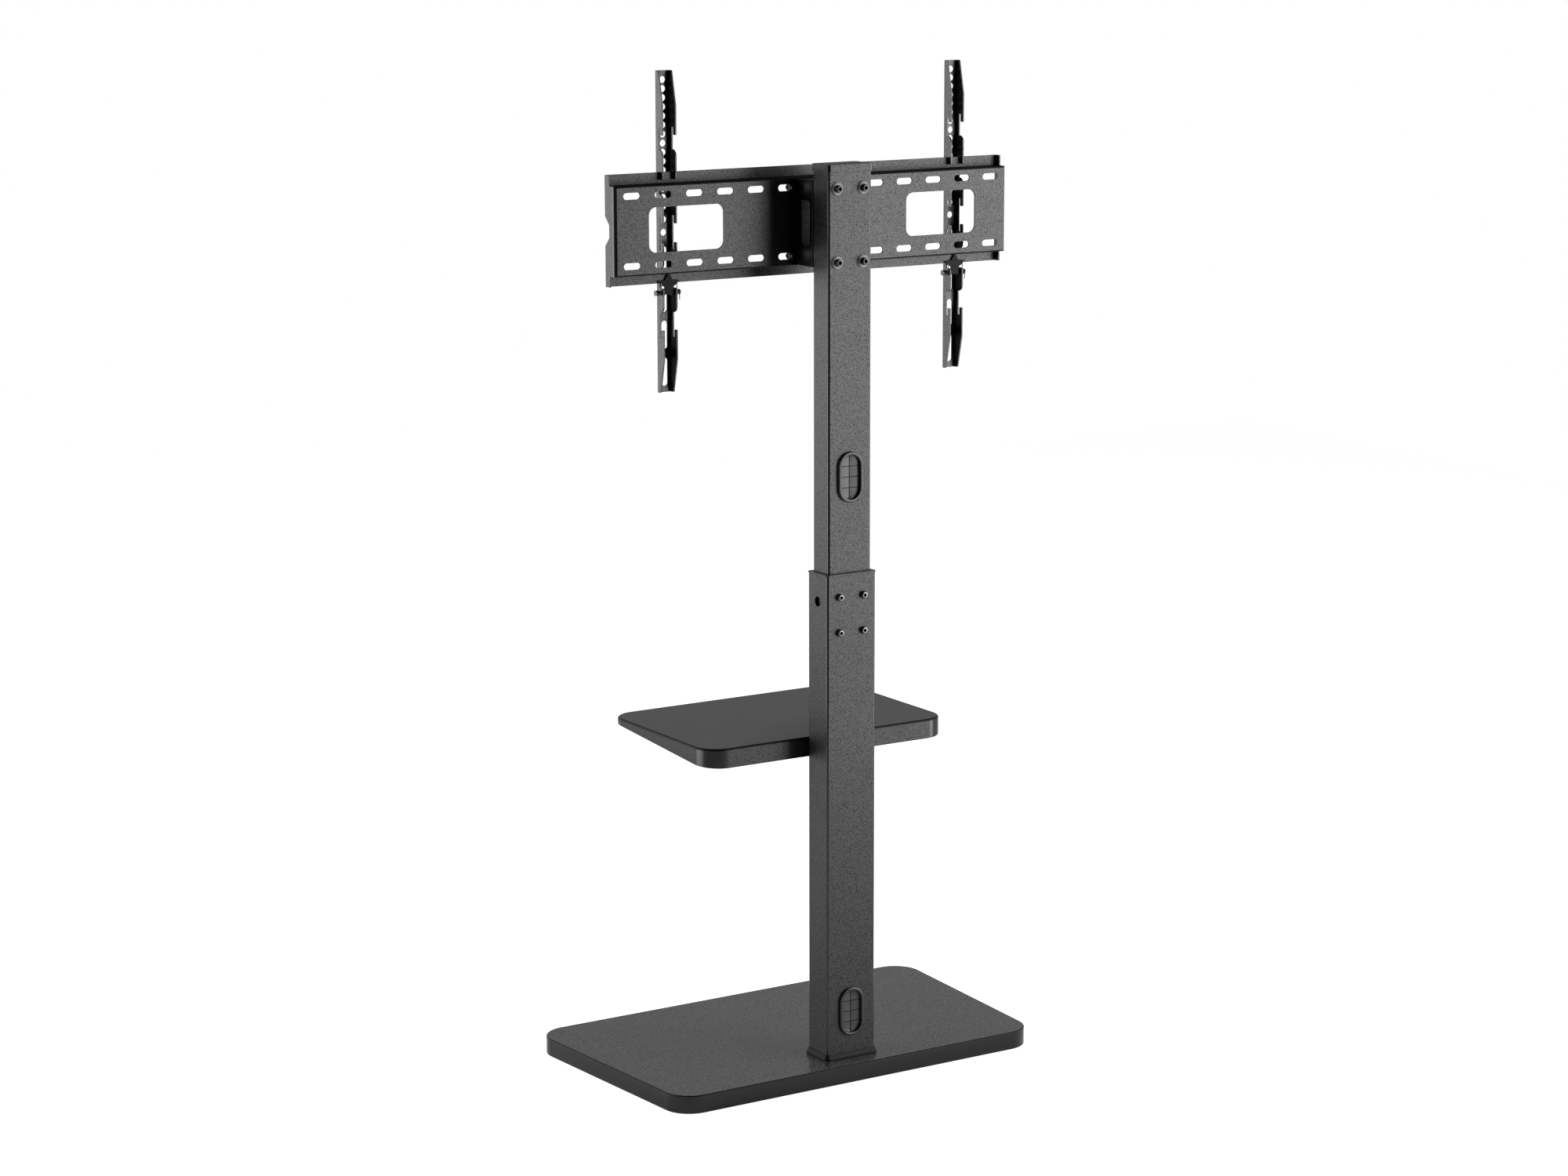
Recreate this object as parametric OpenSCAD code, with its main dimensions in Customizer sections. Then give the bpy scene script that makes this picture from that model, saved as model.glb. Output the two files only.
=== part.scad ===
// Free-standing television stand with a hook-on mount, seen in millimetres.
// The front, where the television hangs, faces -Y. The column stands near the rear edge of the base.
// The origin is on the floor, below the middle of the base board.

/* [Base] */
// Width of the base board along its front edge
base_front_w = 645; // [560:1:760]
// Width of the base board along its rear edge
base_rear_w = 595; // [520:1:700]
// Depth of the base board
base_d = 373; // [330:1:480]
// Thickness of the base board
base_t = 26; // [22:0.5:36]
// Corner radius of the base board
base_r = 40; // [15:1:80]
// Distance from the rear edge of the base to the column's axis
base_setback = 54.6; // [48:0.1:120]
// Thickness of the edge band round the base board
band_t = 1; // [0.5:0.1:2]
// Diameter of a rubber pad under the base
pad_dia = 24; // [14:1:36]
// Height of the rubber pads below the base board
pad_proud = 1.5; // [1:0.1:4]
// Depth of the recess that each rubber pad sits in
pad_recess = 1.5; // [0.5:0.1:3]
// Distance from the pads' centres to the edges of the base
pad_inset = 46; // [25:1:70]

/* [Column] */
// Width of the lower tube, along X
lower_w = 80; // [70:0.5:100]
// Depth of the lower tube, along Y
lower_d = 49; // [42:0.1:70]
// Length of the lower tube
lower_len = 695.5; // [640:0.5:900]
// Wall of both tubes
tube_wall = 2; // [1.5:0.1:2.5]
// Outside corner radius of both tubes
tube_r = 3; // [2.6:0.1:4]
// Free space between the lower tube's inside and the upper tube's outside
tube_gap = 3; // [2.2:0.1:4]
// Length of the upper tube
upper_len = 813; // [760:1:1000]
// Length of the upper tube that stands inside the lower tube at rest
insertion = 250; // [240:1:256]
// Space left between parts that slide past each other
slide_gap = 0.3; // [0.2:0.05:0.5]
// Height of the trim cap's side on top of the column
cap_h = 10; // [6:0.5:16]
// Overhang of the trim cap past the tube
cap_lap = 2; // [1.5:0.1:3]
// Thickness of the trim cap's top
cap_t = 2.5; // [1.5:0.1:4]
// Overhang of the rim on top of the lower tube
rim_lap = 1; // [0.5:0.1:2]
// Thickness of the rim on top of the lower tube
rim_t = 2.5; // [1.5:0.1:4]
// Depth of the rim's skirt inside the lower tube
rim_skirt = 12; // [6:0.5:18]
// Height of the glide sleeve at the foot of the upper tube
glide_h = 56; // [30:1:58]
// Thickness of the glide sleeve's closed end edge below the tube
glide_edge = 3; // [2:0.5:4]
// Overhang of the foot collar's lower step
collar_lap = 4; // [3:0.1:8]
// Height of the foot collar's lower step
collar_low = 5; // [3:0.1:8]
// Overhang of the foot collar's upper step
collar_top_lap = 2.4; // [1:0.1:2.8]
// Whole height of the foot collar
collar_h = 8.5; // [8.1:0.1:14]
// Diameter of the round hole in the lower tube's side
side_hole_dia = 14.4; // [8:0.1:20]
// Distance of the side hole below the lower tube's top
side_hole_drop = 37.4; // [25:0.1:60]

/* [Foot] */
// Shank diameter of the bolts that hold the column to the base
foot_bolt_dia = 8; // [6:0.5:10]
// Head diameter of those bolts
foot_bolt_head_dia = 13; // [10:0.5:14]
// Head height of those bolts
foot_bolt_head_h = 8; // [6:0.5:9]
// Width across flats of their hexagon recess
foot_bolt_hex = 6; // [5:0.5:8]
// Diameter of the washers under their heads
foot_washer_dia = 20; // [16:0.5:21]
// Diameter of the sinks for their heads
foot_sink_dia = 21; // [18:0.5:22]
// Depth of the sinks below the heads
foot_sink_spare = 1.4; // [0.5:0.1:3]
// Thickness of the plate inside the tube's foot
foot_plate_t = 10; // [6:0.5:16]
// Distance from the tube's outside to those bolts' axes, along X
foot_bolt_in_x = 13; // [12:0.5:18]
// Distance from the tube's outside to those bolts' axes, along Y
foot_bolt_in_y = 11.5; // [10.5:0.1:12]

/* [Height bolts] */
// Distance between the two columns of height bolts
height_bolt_x = 39.2; // [30:0.1:46]
// Distance between the two rows, and so between height settings
height_pitch = 50; // [46:1:60]
// Distance of the upper row below the lower tube's top
height_bolt_drop = 29.9; // [26:0.1:40]
// Number of hole rows in the upper tube
height_rows = 4; // [3:1:4]

/* [Small bolts] */
// Shank diameter of the socket-head bolts
bolt_dia = 6; // [5:0.1:6.4]
// Head diameter of the socket-head bolts
bolt_head_dia = 10.4; // [9.5:0.1:11]
// Head height of the socket-head bolts
bolt_head_h = 6; // [4:0.1:7]
// Width across flats of the hexagon recess
bolt_hex = 5; // [4:0.1:6]
// Clearance round a shank in a plain hole, on the radius
hole_gap = 0.3; // [0.1:0.05:0.5]
// Diameter of the big washers under the upper bolts
washer_dia = 17.4; // [14:0.1:20]
// Thickness of the washers
washer_t = 1.6; // [1:0.1:2.5]
// Width across flats of the nuts
nut_af = 10; // [9:0.1:11]
// Height of the nuts
nut_h = 5; // [4:0.1:6]

/* [Cable grommets] */
// Width of the grommet's flange
grommet_w = 40; // [36:0.5:46]
// Height of the grommet's flange
grommet_h = 71; // [60:0.5:90]
// Width of the flange from its outer edge to the opening
grommet_band = 5.4; // [4:0.1:7]
// Thickness of the neck that stands in the tube's wall
grommet_neck_t = 2.2; // [1.5:0.1:3]
// Thickness of the flange
grommet_t = 1.6; // [1:0.1:3]
// Thickness of the slit rubber
flap_t = 1.6; // [1:0.1:2.5]
// Width of a slit
slit_w = 1; // [0.6:0.1:2]
// Distance between the cross slits
slit_pitch = 14.8; // [12:0.1:18]
// Height of the lower grommet's centre above the base board
lower_grommet_z = 67.9; // [60:0.1:120]
// Distance of the upper grommet's centre below the upper tube's top
upper_grommet_drop = 426.7; // [380:0.1:460]

/* [Shelf] */
// Width of the shelf
shelf_w = 403; // [300:1:480]
// Depth of the shelf
shelf_d = 274; // [250:1:340]
// Height of the shelf's rear edge
shelf_rear_h = 28; // [26:0.5:40]
// Height of the shelf's front edge
shelf_front_h = 8; // [6:0.5:16]
// Corner radius of the shelf
shelf_r = 28; // [12:1:50]
// Sheet thickness of the shelf
shelf_t = 2; // [1.5:0.1:3]
// Distance of the shelf's top below the lower tube's top
shelf_drop = 236.1; // [230:0.1:300]
// Space between the bracket's back plate and the shelf's rear edge
shelf_setback = 2.7; // [0.3:0.1:12]
// Width of the shelf's bracket
shelf_bracket_w = 60; // [50:1:68]
// Length of the shelf bracket under the shelf
shelf_bracket_len = 210; // [160:1:230]
// Sheet thickness of the shelf bracket
shelf_bracket_t = 3; // [2:0.1:4]
// Height of the bracket's back plate on the column
shelf_back_h = 70; // [62:1:90]
// Thickness of the stiffener welded under the shelf
stiffener_t = 4; // [3:0.1:5]
// Width of the stiffener
stiffener_w = 120; // [80:1:200]
// Shank diameter of the screws from the bracket into the stiffener
shelf_screw_dia = 5; // [4:0.5:6]
// Head diameter of those screws
shelf_screw_head_dia = 9; // [7:0.5:10]
// Head height of those screws
shelf_screw_head_h = 3; // [2:0.1:4]
// Depth of the bracket's cheeks at its front end
shelf_cheek_end = 8; // [5:0.5:12]
// Depth of the bracket's cheeks at the column
shelf_cheek_rear = 19; // [12:0.5:30]
// Length of the threaded inserts behind the shelf's bolts
shelf_insert_len = 6; // [4:0.5:9]

/* [Plate] */
// Width of the mounting plate
plate_w = 640; // [630:1:700]
// Height of the plate's web
plate_web_h = 121; // [120:0.5:140]
// Height over the plate's two lips
plate_lip_h = 150; // [149:0.5:170]
// Depth of the plate from its web to its lips
plate_depth = 24.9; // [24:0.1:32]
// Sheet thickness of the plate
plate_t = 2; // [1.5:0.1:2.2]
// Distance from the upper tube's front to the back of the plate's web
plate_standoff = 45.8; // [44:0.1:70]
// Distance of the plate's centre below the upper tube's top
plate_drop = 80.2; // [78:0.1:110]
// Outside radius of the plate's bends
plate_bend_r = 2.6; // [2.2:0.1:4]
// Distance between the slots in a row
slot_pitch = 48.8; // [47:0.1:50]
// Length of a slot
slot_len = 26; // [24:0.1:30]
// Width of a slot
slot_w = 9.2; // [8:0.1:10]
// Distance of the slot rows above and below the plate's centre
slot_row_z = 46.95; // [44:0.05:50]
// Number of slots each side of the middle one
slots_each_side = 6; // [4:1:6]
// Width of a large opening
window_w = 117; // [90:1:130]
// Height of a large opening
window_h = 61; // [40:0.5:64]
// Corner radius of a large opening
window_r = 11; // [4:0.5:20]
// Distance of the large openings' centres from the middle
window_x = 208; // [200:0.5:230]
// Depth of the side flange's notch
notch_depth = 11; // [6:0.1:14]
// Height of the notch at its bottom
notch_floor = 17; // [10:0.5:30]
// Height of the notch at its mouth
notch_mouth = 40; // [32:0.5:60]
// Width of the strips of side flange beside the lips
ear_w = 11.2; // [8:0.1:16]

/* [Bracket] */
// Width over the bracket's cheeks
bracket_w = 69; // [64:0.5:70]
// Height of the bracket
bracket_h = 118; // [114:0.5:120]
// Width of each flange that lies on the plate
bracket_flange_w = 11.1; // [11:0.1:14]
// Sheet thickness of the bracket
bracket_t = 3; // [2.5:0.1:3.2]
// Outside radius of the bracket's bends
bracket_bend_r = 4; // [3.3:0.1:5]
// Corner radius of the bracket's flanges
bracket_r = 6; // [2:0.5:10]
// Height of the openings in the bracket's cheeks
cheek_window_h = 62; // [30:1:80]
// Distance from those openings to the bracket's front and rear
cheek_window_edge = 9; // [6:0.5:14]
// Corner radius of those openings
cheek_window_r = 5; // [2:0.5:8]
// Distance between the columns of upper bolts
plate_bolt_x = 42; // [34:0.5:46]
// Distance between the rows of upper bolts
plate_bolt_z = 100; // [90:0.5:104]

/* [Arms] */
// Length of each arm
arm_len = 435.5; // [425:0.5:460]
// Width of each arm
arm_w = 22.5; // [21:0.1:26]
// Depth of each arm's flanges
arm_depth = 19; // [18.5:0.1:21]
// Sheet thickness of the arms
arm_t = 2; // [1.5:0.1:2.2]
// Outside radius of the arms' bends
arm_bend_r = 2.6; // [2.2:0.1:3.5]
// Depth of the flanges at the arm's ends
arm_end_depth = 9; // [6:0.1:12]
// Height of the tapered stretch at each end
arm_taper = 46; // [30:0.5:60]
// Depth from the arm's face to the foot of a hook
hook_root = 9.2; // [8:0.1:10]
// Space each side of a lip in a hook's slot
hook_play = 0.9; // [0.5:0.05:1]
// Length of a hook's tooth
hook_tooth = 10.5; // [8:0.1:12]
// Distance of the first hook from the arm's middle
hook_first = 23.3; // [21:0.1:26]
// Distance from each hook to the next
hook_pitch = 59.4; // [58:0.1:60]
// Height of the notches below the upper hooks
upper_notch = 30; // [28:0.1:31]
// Height of the notches above the lower hooks
lower_notch = 34; // [33:0.1:36]
// Radius of the notches' shoulders
shoulder_r = 9; // [4:0.5:9.4]
// Radius of the teeth's corners
tooth_r = 1; // [0.5:0.1:2]
// Radius of the corners at the arm's ends
end_r = 3; // [1:0.5:4]
// Radius below the latch's notch
notch_r = 2.5; // [2:0.1:4]
// Diameter of the round screw holes
arm_hole_dia = 9.4; // [8:0.1:10]
// Distance between the round screw holes
arm_hole_pitch = 12.16; // [12:0.02:12.4]
// Distance from the middle to the top screw hole
arm_hole_top = 205.3; // [204:0.1:212]
// Number of screw holes in the close row
arm_holes = 15; // [10:1:15]
// Distance between the two middle screw holes
arm_mid_pitch = 17.4; // [16:0.1:18]
// Length of a screw slot
arm_slot_len = 38.9; // [30:0.1:41]
// Distance between the screw slots
arm_slot_pitch = 50.6; // [50:0.1:52]
// Distance from the middle to the lowest screw slot
arm_slot_low = 190.2; // [189:0.1:196]
// Number of screw slots
arm_slots = 4; // [2:1:4]
// Place of the arm on the +X side
left_arm_x = 224.5; // [60:0.5:290]
// Place of the arm on the -X side
right_arm_x = -247; // [-290:0.5:-60]

/* [Latches] */
// Diameter of the latch pin
pin_dia = 5; // [4.4:0.1:5.2]
// Clearance round the latch pin, on the radius
pin_gap = 0.06; // [0.03:0.01:0.1]
// Height of the latch pin below the plate's lower lip
pin_drop = 13.3; // [13:0.1:15]
// Depth of the latch pin from the arm's face
pin_depth = 10.6; // [10.4:0.1:10.8]
// Diameter of the latch pin's heads
pin_head_dia = 7.6; // [6:0.1:9]
// Thickness of the latch pin's heads
pin_head_t = 1; // [0.6:0.1:2]
// Sheet thickness of the latch
latch_t = 1.6; // [1:0.1:2]
// Half the width over the latch's wings
latch_wing = 17.2; // [15:0.1:17.4]
// Half the width of the latch's body
latch_body = 6.8; // [5:0.1:7.2]
// Height of the wings' tips above the pin
latch_wing_top = 16.5; // [15:0.1:18]
// Height of the wings' undersides above the pin
latch_wing_low = 10; // [9.8:0.1:12]
// Height of the finger above the pin
latch_finger = 26; // [22:0.1:27]
// Distance the body reaches below the pin
latch_tail = 2; // [1:0.1:4]
// Diameter of the spring wire
wire_dia = 1.2; // [0.9:0.1:1.3]
// Turns of the latch spring each side
spring_turns = 3; // [2:1:3]

/* [Hidden] */
// Overrun of every cut past the face it opens
cut_over = 1;
$fn = 48;

// Heights of the main levels
base_top = pad_proud + base_t;
lower_top = base_top + lower_len;
upper_low = lower_top - insertion;
upper_top = upper_low + upper_len;
shelf_top = lower_top - shelf_drop;
plate_cz = upper_top - plate_drop;
lip_top = plate_cz + plate_lip_h / 2;
lip_low = plate_cz - plate_lip_h / 2;
web_top = plate_cz + plate_web_h / 2;
web_low = plate_cz - plate_web_h / 2;

// Sizes of the upper tube, from the tube that it slides in
upper_w = lower_w - 2 * (tube_wall + tube_gap);
upper_d = lower_d - 2 * (tube_wall + tube_gap);
tube_inner_r = tube_r - tube_wall;
wall_cut = tube_wall + 2 * cut_over;

// Places along Y, counted from the column's axis and moved to it by at_column
column_y = base_d / 2 - base_setback;
bracket_back_y = -upper_d / 2;
web_back_y = bracket_back_y - plate_standoff;
lip_front_y = web_back_y - plate_depth;
lip_back_y = lip_front_y + plate_t;
arm_front_y = lip_front_y - hook_play - hook_root;
shelf_bracket_front_y = -lower_d / 2 - shelf_bracket_t;
shelf_rear_y = shelf_bracket_front_y - shelf_setback;

// Bolts
bolt_hole_dia = bolt_dia + 2 * hole_gap;
hex_depth_share = 0.6;
hex_depth = bolt_head_h * hex_depth_share;
insert_dia = bolt_head_dia;
insert_t = tube_gap - 2 * slide_gap;
thread_gap = pin_gap;

// Places round the arms
hook_slot = plate_t + 2 * hook_play;
hook_seat = hook_first + hook_pitch;
arm_cz = lip_top + slide_gap - hook_seat;
pin_z = lip_low - pin_drop;
pin_y = arm_front_y + pin_depth;
latch_front = pin_dia / 2 + slide_gap;

// Moves its children from the column's axis to its place on the base
module at_column() {
    translate([0, column_y, 0])
        children();
}

// A plate in the XZ plane, drawn as a 2D shape in x and z, with its rear face at back
module plate_xz(back, t) {
    translate([0, back, 0])
        rotate([90, 0, 0])
            linear_extrude(t)
                children();
}

// A plate in the YZ plane, drawn as a 2D shape in y and z, from low towards +X
module plate_yz(low, t) {
    translate([low, 0, 0])
        rotate([90, 0, 90])
            linear_extrude(t)
                children();
}

// A rod along Y that starts at front and runs rearwards
module rod_y(x, front, z, dia, len) {
    translate([x, front + len, z])
        rotate([90, 0, 0])
            cylinder(d = dia, h = len);
}

// A rod along X that starts at low and runs towards +X
module rod_x(low, y, z, dia, len) {
    translate([low, y, z])
        rotate([0, 90, 0])
            cylinder(d = dia, h = len);
}

// A rectangle with round corners
module rounded_rect(w, d, r) {
    square([w - 2 * r, d], center = true);
    square([w, d - 2 * r], center = true);
    for (x = [-1, 1], y = [-1, 1])
        translate([x * (w / 2 - r), y * (d / 2 - r)])
            circle(r);
}

// A slot with round ends, its length along X
module stadium(len, w) {
    square([len - w, w], center = true);
    for (x = [-1, 1])
        translate([x * (len - w) / 2, 0])
            circle(d = w);
}

// Outline with some corners rounded: each corner is [point, radius], and a radius of zero stays sharp
function unit(v) = v / norm(v);
function corner_angle(a, b) = acos(unit(a) * unit(b));
function before(c, i) = c[(i + len(c) - 1) % len(c)][0] - c[i][0];
function after(c, i) = c[(i + 1) % len(c)][0] - c[i][0];
function corner_reach(c, i) = c[i][1] / tan(corner_angle(before(c, i), after(c, i)) / 2);
function cut_corner(c, i) = c[i][1] == 0
    ? [c[i][0]]
    : [c[i][0] + unit(before(c, i)) * corner_reach(c, i), c[i][0] + unit(after(c, i)) * corner_reach(c, i)];
function corner_centre(c, i) = c[i][0] + unit(unit(before(c, i)) + unit(after(c, i)))
    * c[i][1] / sin(corner_angle(before(c, i), after(c, i)) / 2);
module rounded_outline(c) {
    polygon([for (i = [0:len(c) - 1]) each cut_corner(c, i)]);
    for (i = [0:len(c) - 1])
        if (c[i][1] > 0)
            translate(corner_centre(c, i))
                circle(c[i][1]);
}

// What a bend's round outside leaves out of a sharp corner at p
// sx and sy point from the corner into the sheet
module bend_bit(p, sx, sy, r) {
    translate(p)
        difference() {
            translate([sx > 0 ? -cut_over : -r, sy > 0 ? -cut_over : -r])
                square(r + cut_over);
            translate([sx * r, sy * r])
                circle(r);
        }
}

// A socket-head bolt along Y: its head's underside at seat, its head towards side, its shank the other way
module socket_bolt(x, seat, z, shank, side) {
    translate([x, seat, z])
        rotate([-90 * side, 0, 0]) {
            difference() {
                cylinder(d = bolt_head_dia, h = bolt_head_h);
                translate([0, 0, bolt_head_h - hex_depth])
                    cylinder(d = bolt_hex / cos(30), h = hex_depth + cut_over, $fn = 6);
            }
            translate([0, 0, -shank])
                cylinder(d = bolt_dia, h = shank);
        }
}

// A ring along Y: its rear face at back
module ring_y(x, back, z, outer, inner, t) {
    translate([x, back, z])
        rotate([90, 0, 0])
            difference() {
                cylinder(d = outer, h = t);
                translate([0, 0, -cut_over])
                    cylinder(d = inner, h = t + 2 * cut_over);
            }
}

// A hexagon nut along Y: its rear face at back
module nut_y(x, back, z) {
    translate([x, back, z])
        rotate([90, 0, 0])
            difference() {
                cylinder(d = nut_af / cos(30), h = nut_h, $fn = 6);
                translate([0, 0, -cut_over])
                    cylinder(d = bolt_dia + 2 * thread_gap, h = nut_h + 2 * cut_over);
            }
}

// The base board's outline, drawn in from its edges by inset
module base_outline(inset) {
    front = [base_front_w / 2, -base_d / 2];
    rear = [base_rear_w / 2, base_d / 2];
    r = base_r - inset;
    slope = atan((front[0] - rear[0]) / base_d);
    side = inset / cos(slope);
    lean = inset * tan(slope);
    f = [front[0] - side - lean, front[1] + inset];
    b = [rear[0] - side + lean, rear[1] - inset];
    rounded_outline([[f, r], [b, r], [[-b[0], b[1]], r], [[-f[0], f[1]], r]]);
}

// Places of the rubber pads: four corners and the middle of the long sides
pad_front = [base_front_w / 2 - pad_inset, pad_inset - base_d / 2];
pad_rear = [base_rear_w / 2 - pad_inset, base_d / 2 - pad_inset];
pad_places = [pad_front, [-pad_front[0], pad_front[1]], pad_rear, [-pad_rear[0], pad_rear[1]],
              [0, pad_front[1]]];

// Places of the bolts that hold the column to the base, from the column's axis
foot_sink = foot_bolt_head_h + washer_t + foot_sink_spare;
foot_places = [for (x = [-1, 1], y = [-1, 1])
    [x * (lower_w / 2 - foot_bolt_in_x), y * (lower_d / 2 - foot_bolt_in_y)]];

module base_board() {
    color([0.19, 0.19, 0.19])
        difference() {
            translate([0, 0, pad_proud])
                linear_extrude(base_t)
                    base_outline(band_t);
            for (p = pad_places)
                translate([p[0], p[1], pad_proud - cut_over])
                    cylinder(d = pad_dia + 2 * hole_gap, h = pad_recess + cut_over);
            at_column()
                for (p = foot_places) {
                    translate([p[0], p[1], pad_proud - cut_over])
                        cylinder(d = foot_sink_dia, h = foot_sink + cut_over);
                    translate([p[0], p[1], pad_proud])
                        cylinder(d = foot_bolt_dia + 2 * hole_gap, h = base_t + cut_over);
                }
        }
}

module base_edge_band() {
    color([0.1, 0.1, 0.1])
        translate([0, 0, pad_proud])
            linear_extrude(base_t)
                difference() {
                    base_outline(0);
                    base_outline(band_t);
                }
}

module base_pads() {
    color([0.06, 0.06, 0.06])
        for (p = pad_places)
            translate([p[0], p[1], 0])
                cylinder(d = pad_dia, h = pad_proud + pad_recess);
}

module foot_plate() {
    color([0.3, 0.3, 0.3])
        at_column()
            translate([0, 0, base_top])
                difference() {
                    linear_extrude(foot_plate_t)
                        rounded_rect(lower_w - 2 * tube_wall, lower_d - 2 * tube_wall, tube_inner_r);
                    for (p = foot_places)
                        translate([p[0], p[1], -cut_over])
                            cylinder(d = foot_bolt_dia + 2 * thread_gap, h = foot_plate_t + 2 * cut_over);
                }
}

module base_bolts() {
    seat = pad_proud + foot_sink - washer_t;
    color([0.55, 0.55, 0.55])
        at_column()
            for (p = foot_places)
                translate([p[0], p[1], seat]) {
                    cylinder(d = foot_bolt_dia, h = base_top + foot_plate_t - seat);
                    translate([0, 0, -foot_bolt_head_h])
                        difference() {
                            cylinder(d = foot_bolt_head_dia, h = foot_bolt_head_h);
                            translate([0, 0, -cut_over])
                                cylinder(d = foot_bolt_hex / cos(30), h = foot_bolt_head_h / 2 + cut_over,
                                         $fn = 6);
                        }
                }
}

module base_bolt_washers() {
    color([0.55, 0.55, 0.55])
        at_column()
            for (p = foot_places)
                translate([p[0], p[1], pad_proud + foot_sink - washer_t])
                    difference() {
                        cylinder(d = foot_washer_dia, h = washer_t);
                        translate([0, 0, -cut_over])
                            cylinder(d = foot_bolt_dia + 2 * hole_gap, h = washer_t + 2 * cut_over);
                    }
}

// A rectangular frame round the lower tube, with its inside at fit from the tube's outside
module collar_step(lap, low, h) {
    translate([0, 0, low])
        linear_extrude(h)
            difference() {
                rounded_rect(lower_w + 2 * lap, lower_d + 2 * lap, tube_r + lap);
                rounded_rect(lower_w, lower_d, tube_r);
            }
}

module foot_collar() {
    color([0.05, 0.05, 0.05])
        at_column() {
            collar_step(collar_lap, base_top, collar_low);
            collar_step(collar_top_lap, base_top + collar_low, collar_h - collar_low);
        }
}

// A rectangular tube with round corners
module tube(w, d, h) {
    linear_extrude(h)
        difference() {
            rounded_rect(w, d, tube_r);
            rounded_rect(w - 2 * tube_wall, d - 2 * tube_wall, tube_inner_r);
        }
}

// The stadium hole in a tube's rear wall, for a grommet's neck
module grommet_hole(tube_d, z) {
    band = grommet_band - grommet_neck_t;
    translate([0, 0, z])
        plate_xz(tube_d / 2 + cut_over, tube_wall + 2 * cut_over)
            rotate(90)
                stadium(grommet_h - 2 * band, grommet_w - 2 * band);
}

height_places = [for (x = [-1, 1], k = [0, 1])
    [x * height_bolt_x / 2, lower_top - height_bolt_drop - k * height_pitch]];
shelf_bolt_x = shelf_bracket_w / 2 - bolt_head_dia;
shelf_bolt_low = shelf_top - shelf_t - stiffener_t - shelf_back_h + bolt_head_dia;
shelf_bolt_rise = shelf_back_h - shelf_rear_h - 2 * bolt_head_dia + bolt_dia;
shelf_bolt_places = [for (x = [-1, 1], k = [0, 1]) [x * shelf_bolt_x, shelf_bolt_low + k * shelf_bolt_rise]];

module lower_column() {
    color([0.16, 0.16, 0.16])
        at_column()
            difference() {
                translate([0, 0, base_top])
                    tube(lower_w, lower_d, lower_len);
                grommet_hole(lower_d, base_top + lower_grommet_z);
                for (p = height_places)
                    rod_y(p[0], lower_d / 2 - tube_wall - cut_over, p[1], bolt_hole_dia, wall_cut);
                for (p = shelf_bolt_places)
                    rod_y(p[0], -lower_d / 2 - cut_over, p[1], bolt_hole_dia, wall_cut);
                rod_x(lower_w / 2 - tube_wall - cut_over, 0, lower_top - side_hole_drop,
                      side_hole_dia, wall_cut);
            }
}

module column_rim() {
    inset = 2 * (tube_wall + thread_gap);
    hole_w = upper_w + 2 * slide_gap;
    hole_d = upper_d + 2 * slide_gap;
    color([0.05, 0.05, 0.05])
        at_column()
            translate([0, 0, lower_top]) {
                linear_extrude(rim_t)
                    difference() {
                        rounded_rect(lower_w + 2 * rim_lap, lower_d + 2 * rim_lap, tube_r + rim_lap);
                        rounded_rect(hole_w, hole_d, tube_r + slide_gap);
                    }
                translate([0, 0, -rim_skirt])
                    linear_extrude(rim_skirt)
                        difference() {
                            rounded_rect(lower_w - inset, lower_d - inset, tube_inner_r);
                            rounded_rect(hole_w, hole_d, tube_r + slide_gap);
                        }
            }
}

module height_bolts() {
    color([0.08, 0.08, 0.08])
        at_column()
            for (p = height_places)
                socket_bolt(p[0], lower_d / 2, p[1], tube_wall + tube_gap - slide_gap, 1);
}

module height_bolt_inserts() {
    color([0.6, 0.6, 0.6])
        at_column()
            for (p = height_places)
                ring_y(p[0], lower_d / 2 - tube_wall, p[1], insert_dia, bolt_dia + 2 * thread_gap, insert_t);
}

// A grommet's ring: a flange on the tube's rear and a neck through its wall
module grommet_ring(tube_d, z) {
    open_w = grommet_w - 2 * grommet_band;
    open_h = grommet_h - 2 * grommet_band;
    neck = 2 * (grommet_neck_t - thread_gap);
    neck_len = tube_wall + flap_t + grommet_t;
    translate([0, 0, z]) {
        plate_xz(tube_d / 2 + grommet_t, grommet_t)
            rotate(90)
                difference() {
                    stadium(grommet_h, grommet_w);
                    stadium(open_h, open_w);
                }
        plate_xz(tube_d / 2, neck_len)
            rotate(90)
                difference() {
                    stadium(open_h + neck, open_w + neck);
                    stadium(open_h, open_w);
                }
    }
}

// The slit rubber inside a grommet's ring
module grommet_flaps(tube_d, z) {
    open_w = grommet_w - 2 * (grommet_band + thread_gap);
    open_h = grommet_h - 2 * (grommet_band + thread_gap);
    edge = grommet_band / 2;
    translate([0, 0, z])
        plate_xz(tube_d / 2, flap_t)
            rotate(90)
                difference() {
                    stadium(open_h, open_w);
                    stadium(open_h - 2 * edge, slit_w);
                    for (k = [-1:1])
                        translate([k * slit_pitch, 0])
                            rotate(90)
                                stadium(open_w - 2 * edge, slit_w);
                }
}

module lower_grommet_ring() {
    color([0.04, 0.04, 0.04])
        at_column()
            grommet_ring(lower_d, base_top + lower_grommet_z);
}

module lower_grommet_flaps() {
    color([0.14, 0.14, 0.14])
        at_column()
            grommet_flaps(lower_d, base_top + lower_grommet_z);
}

// The shelf's outline, drawn in from its edges by inset
module shelf_outline(inset) {
    translate([0, shelf_rear_y - shelf_d / 2])
        rounded_rect(shelf_w - 2 * inset, shelf_d - 2 * inset, shelf_r - inset);
}

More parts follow.
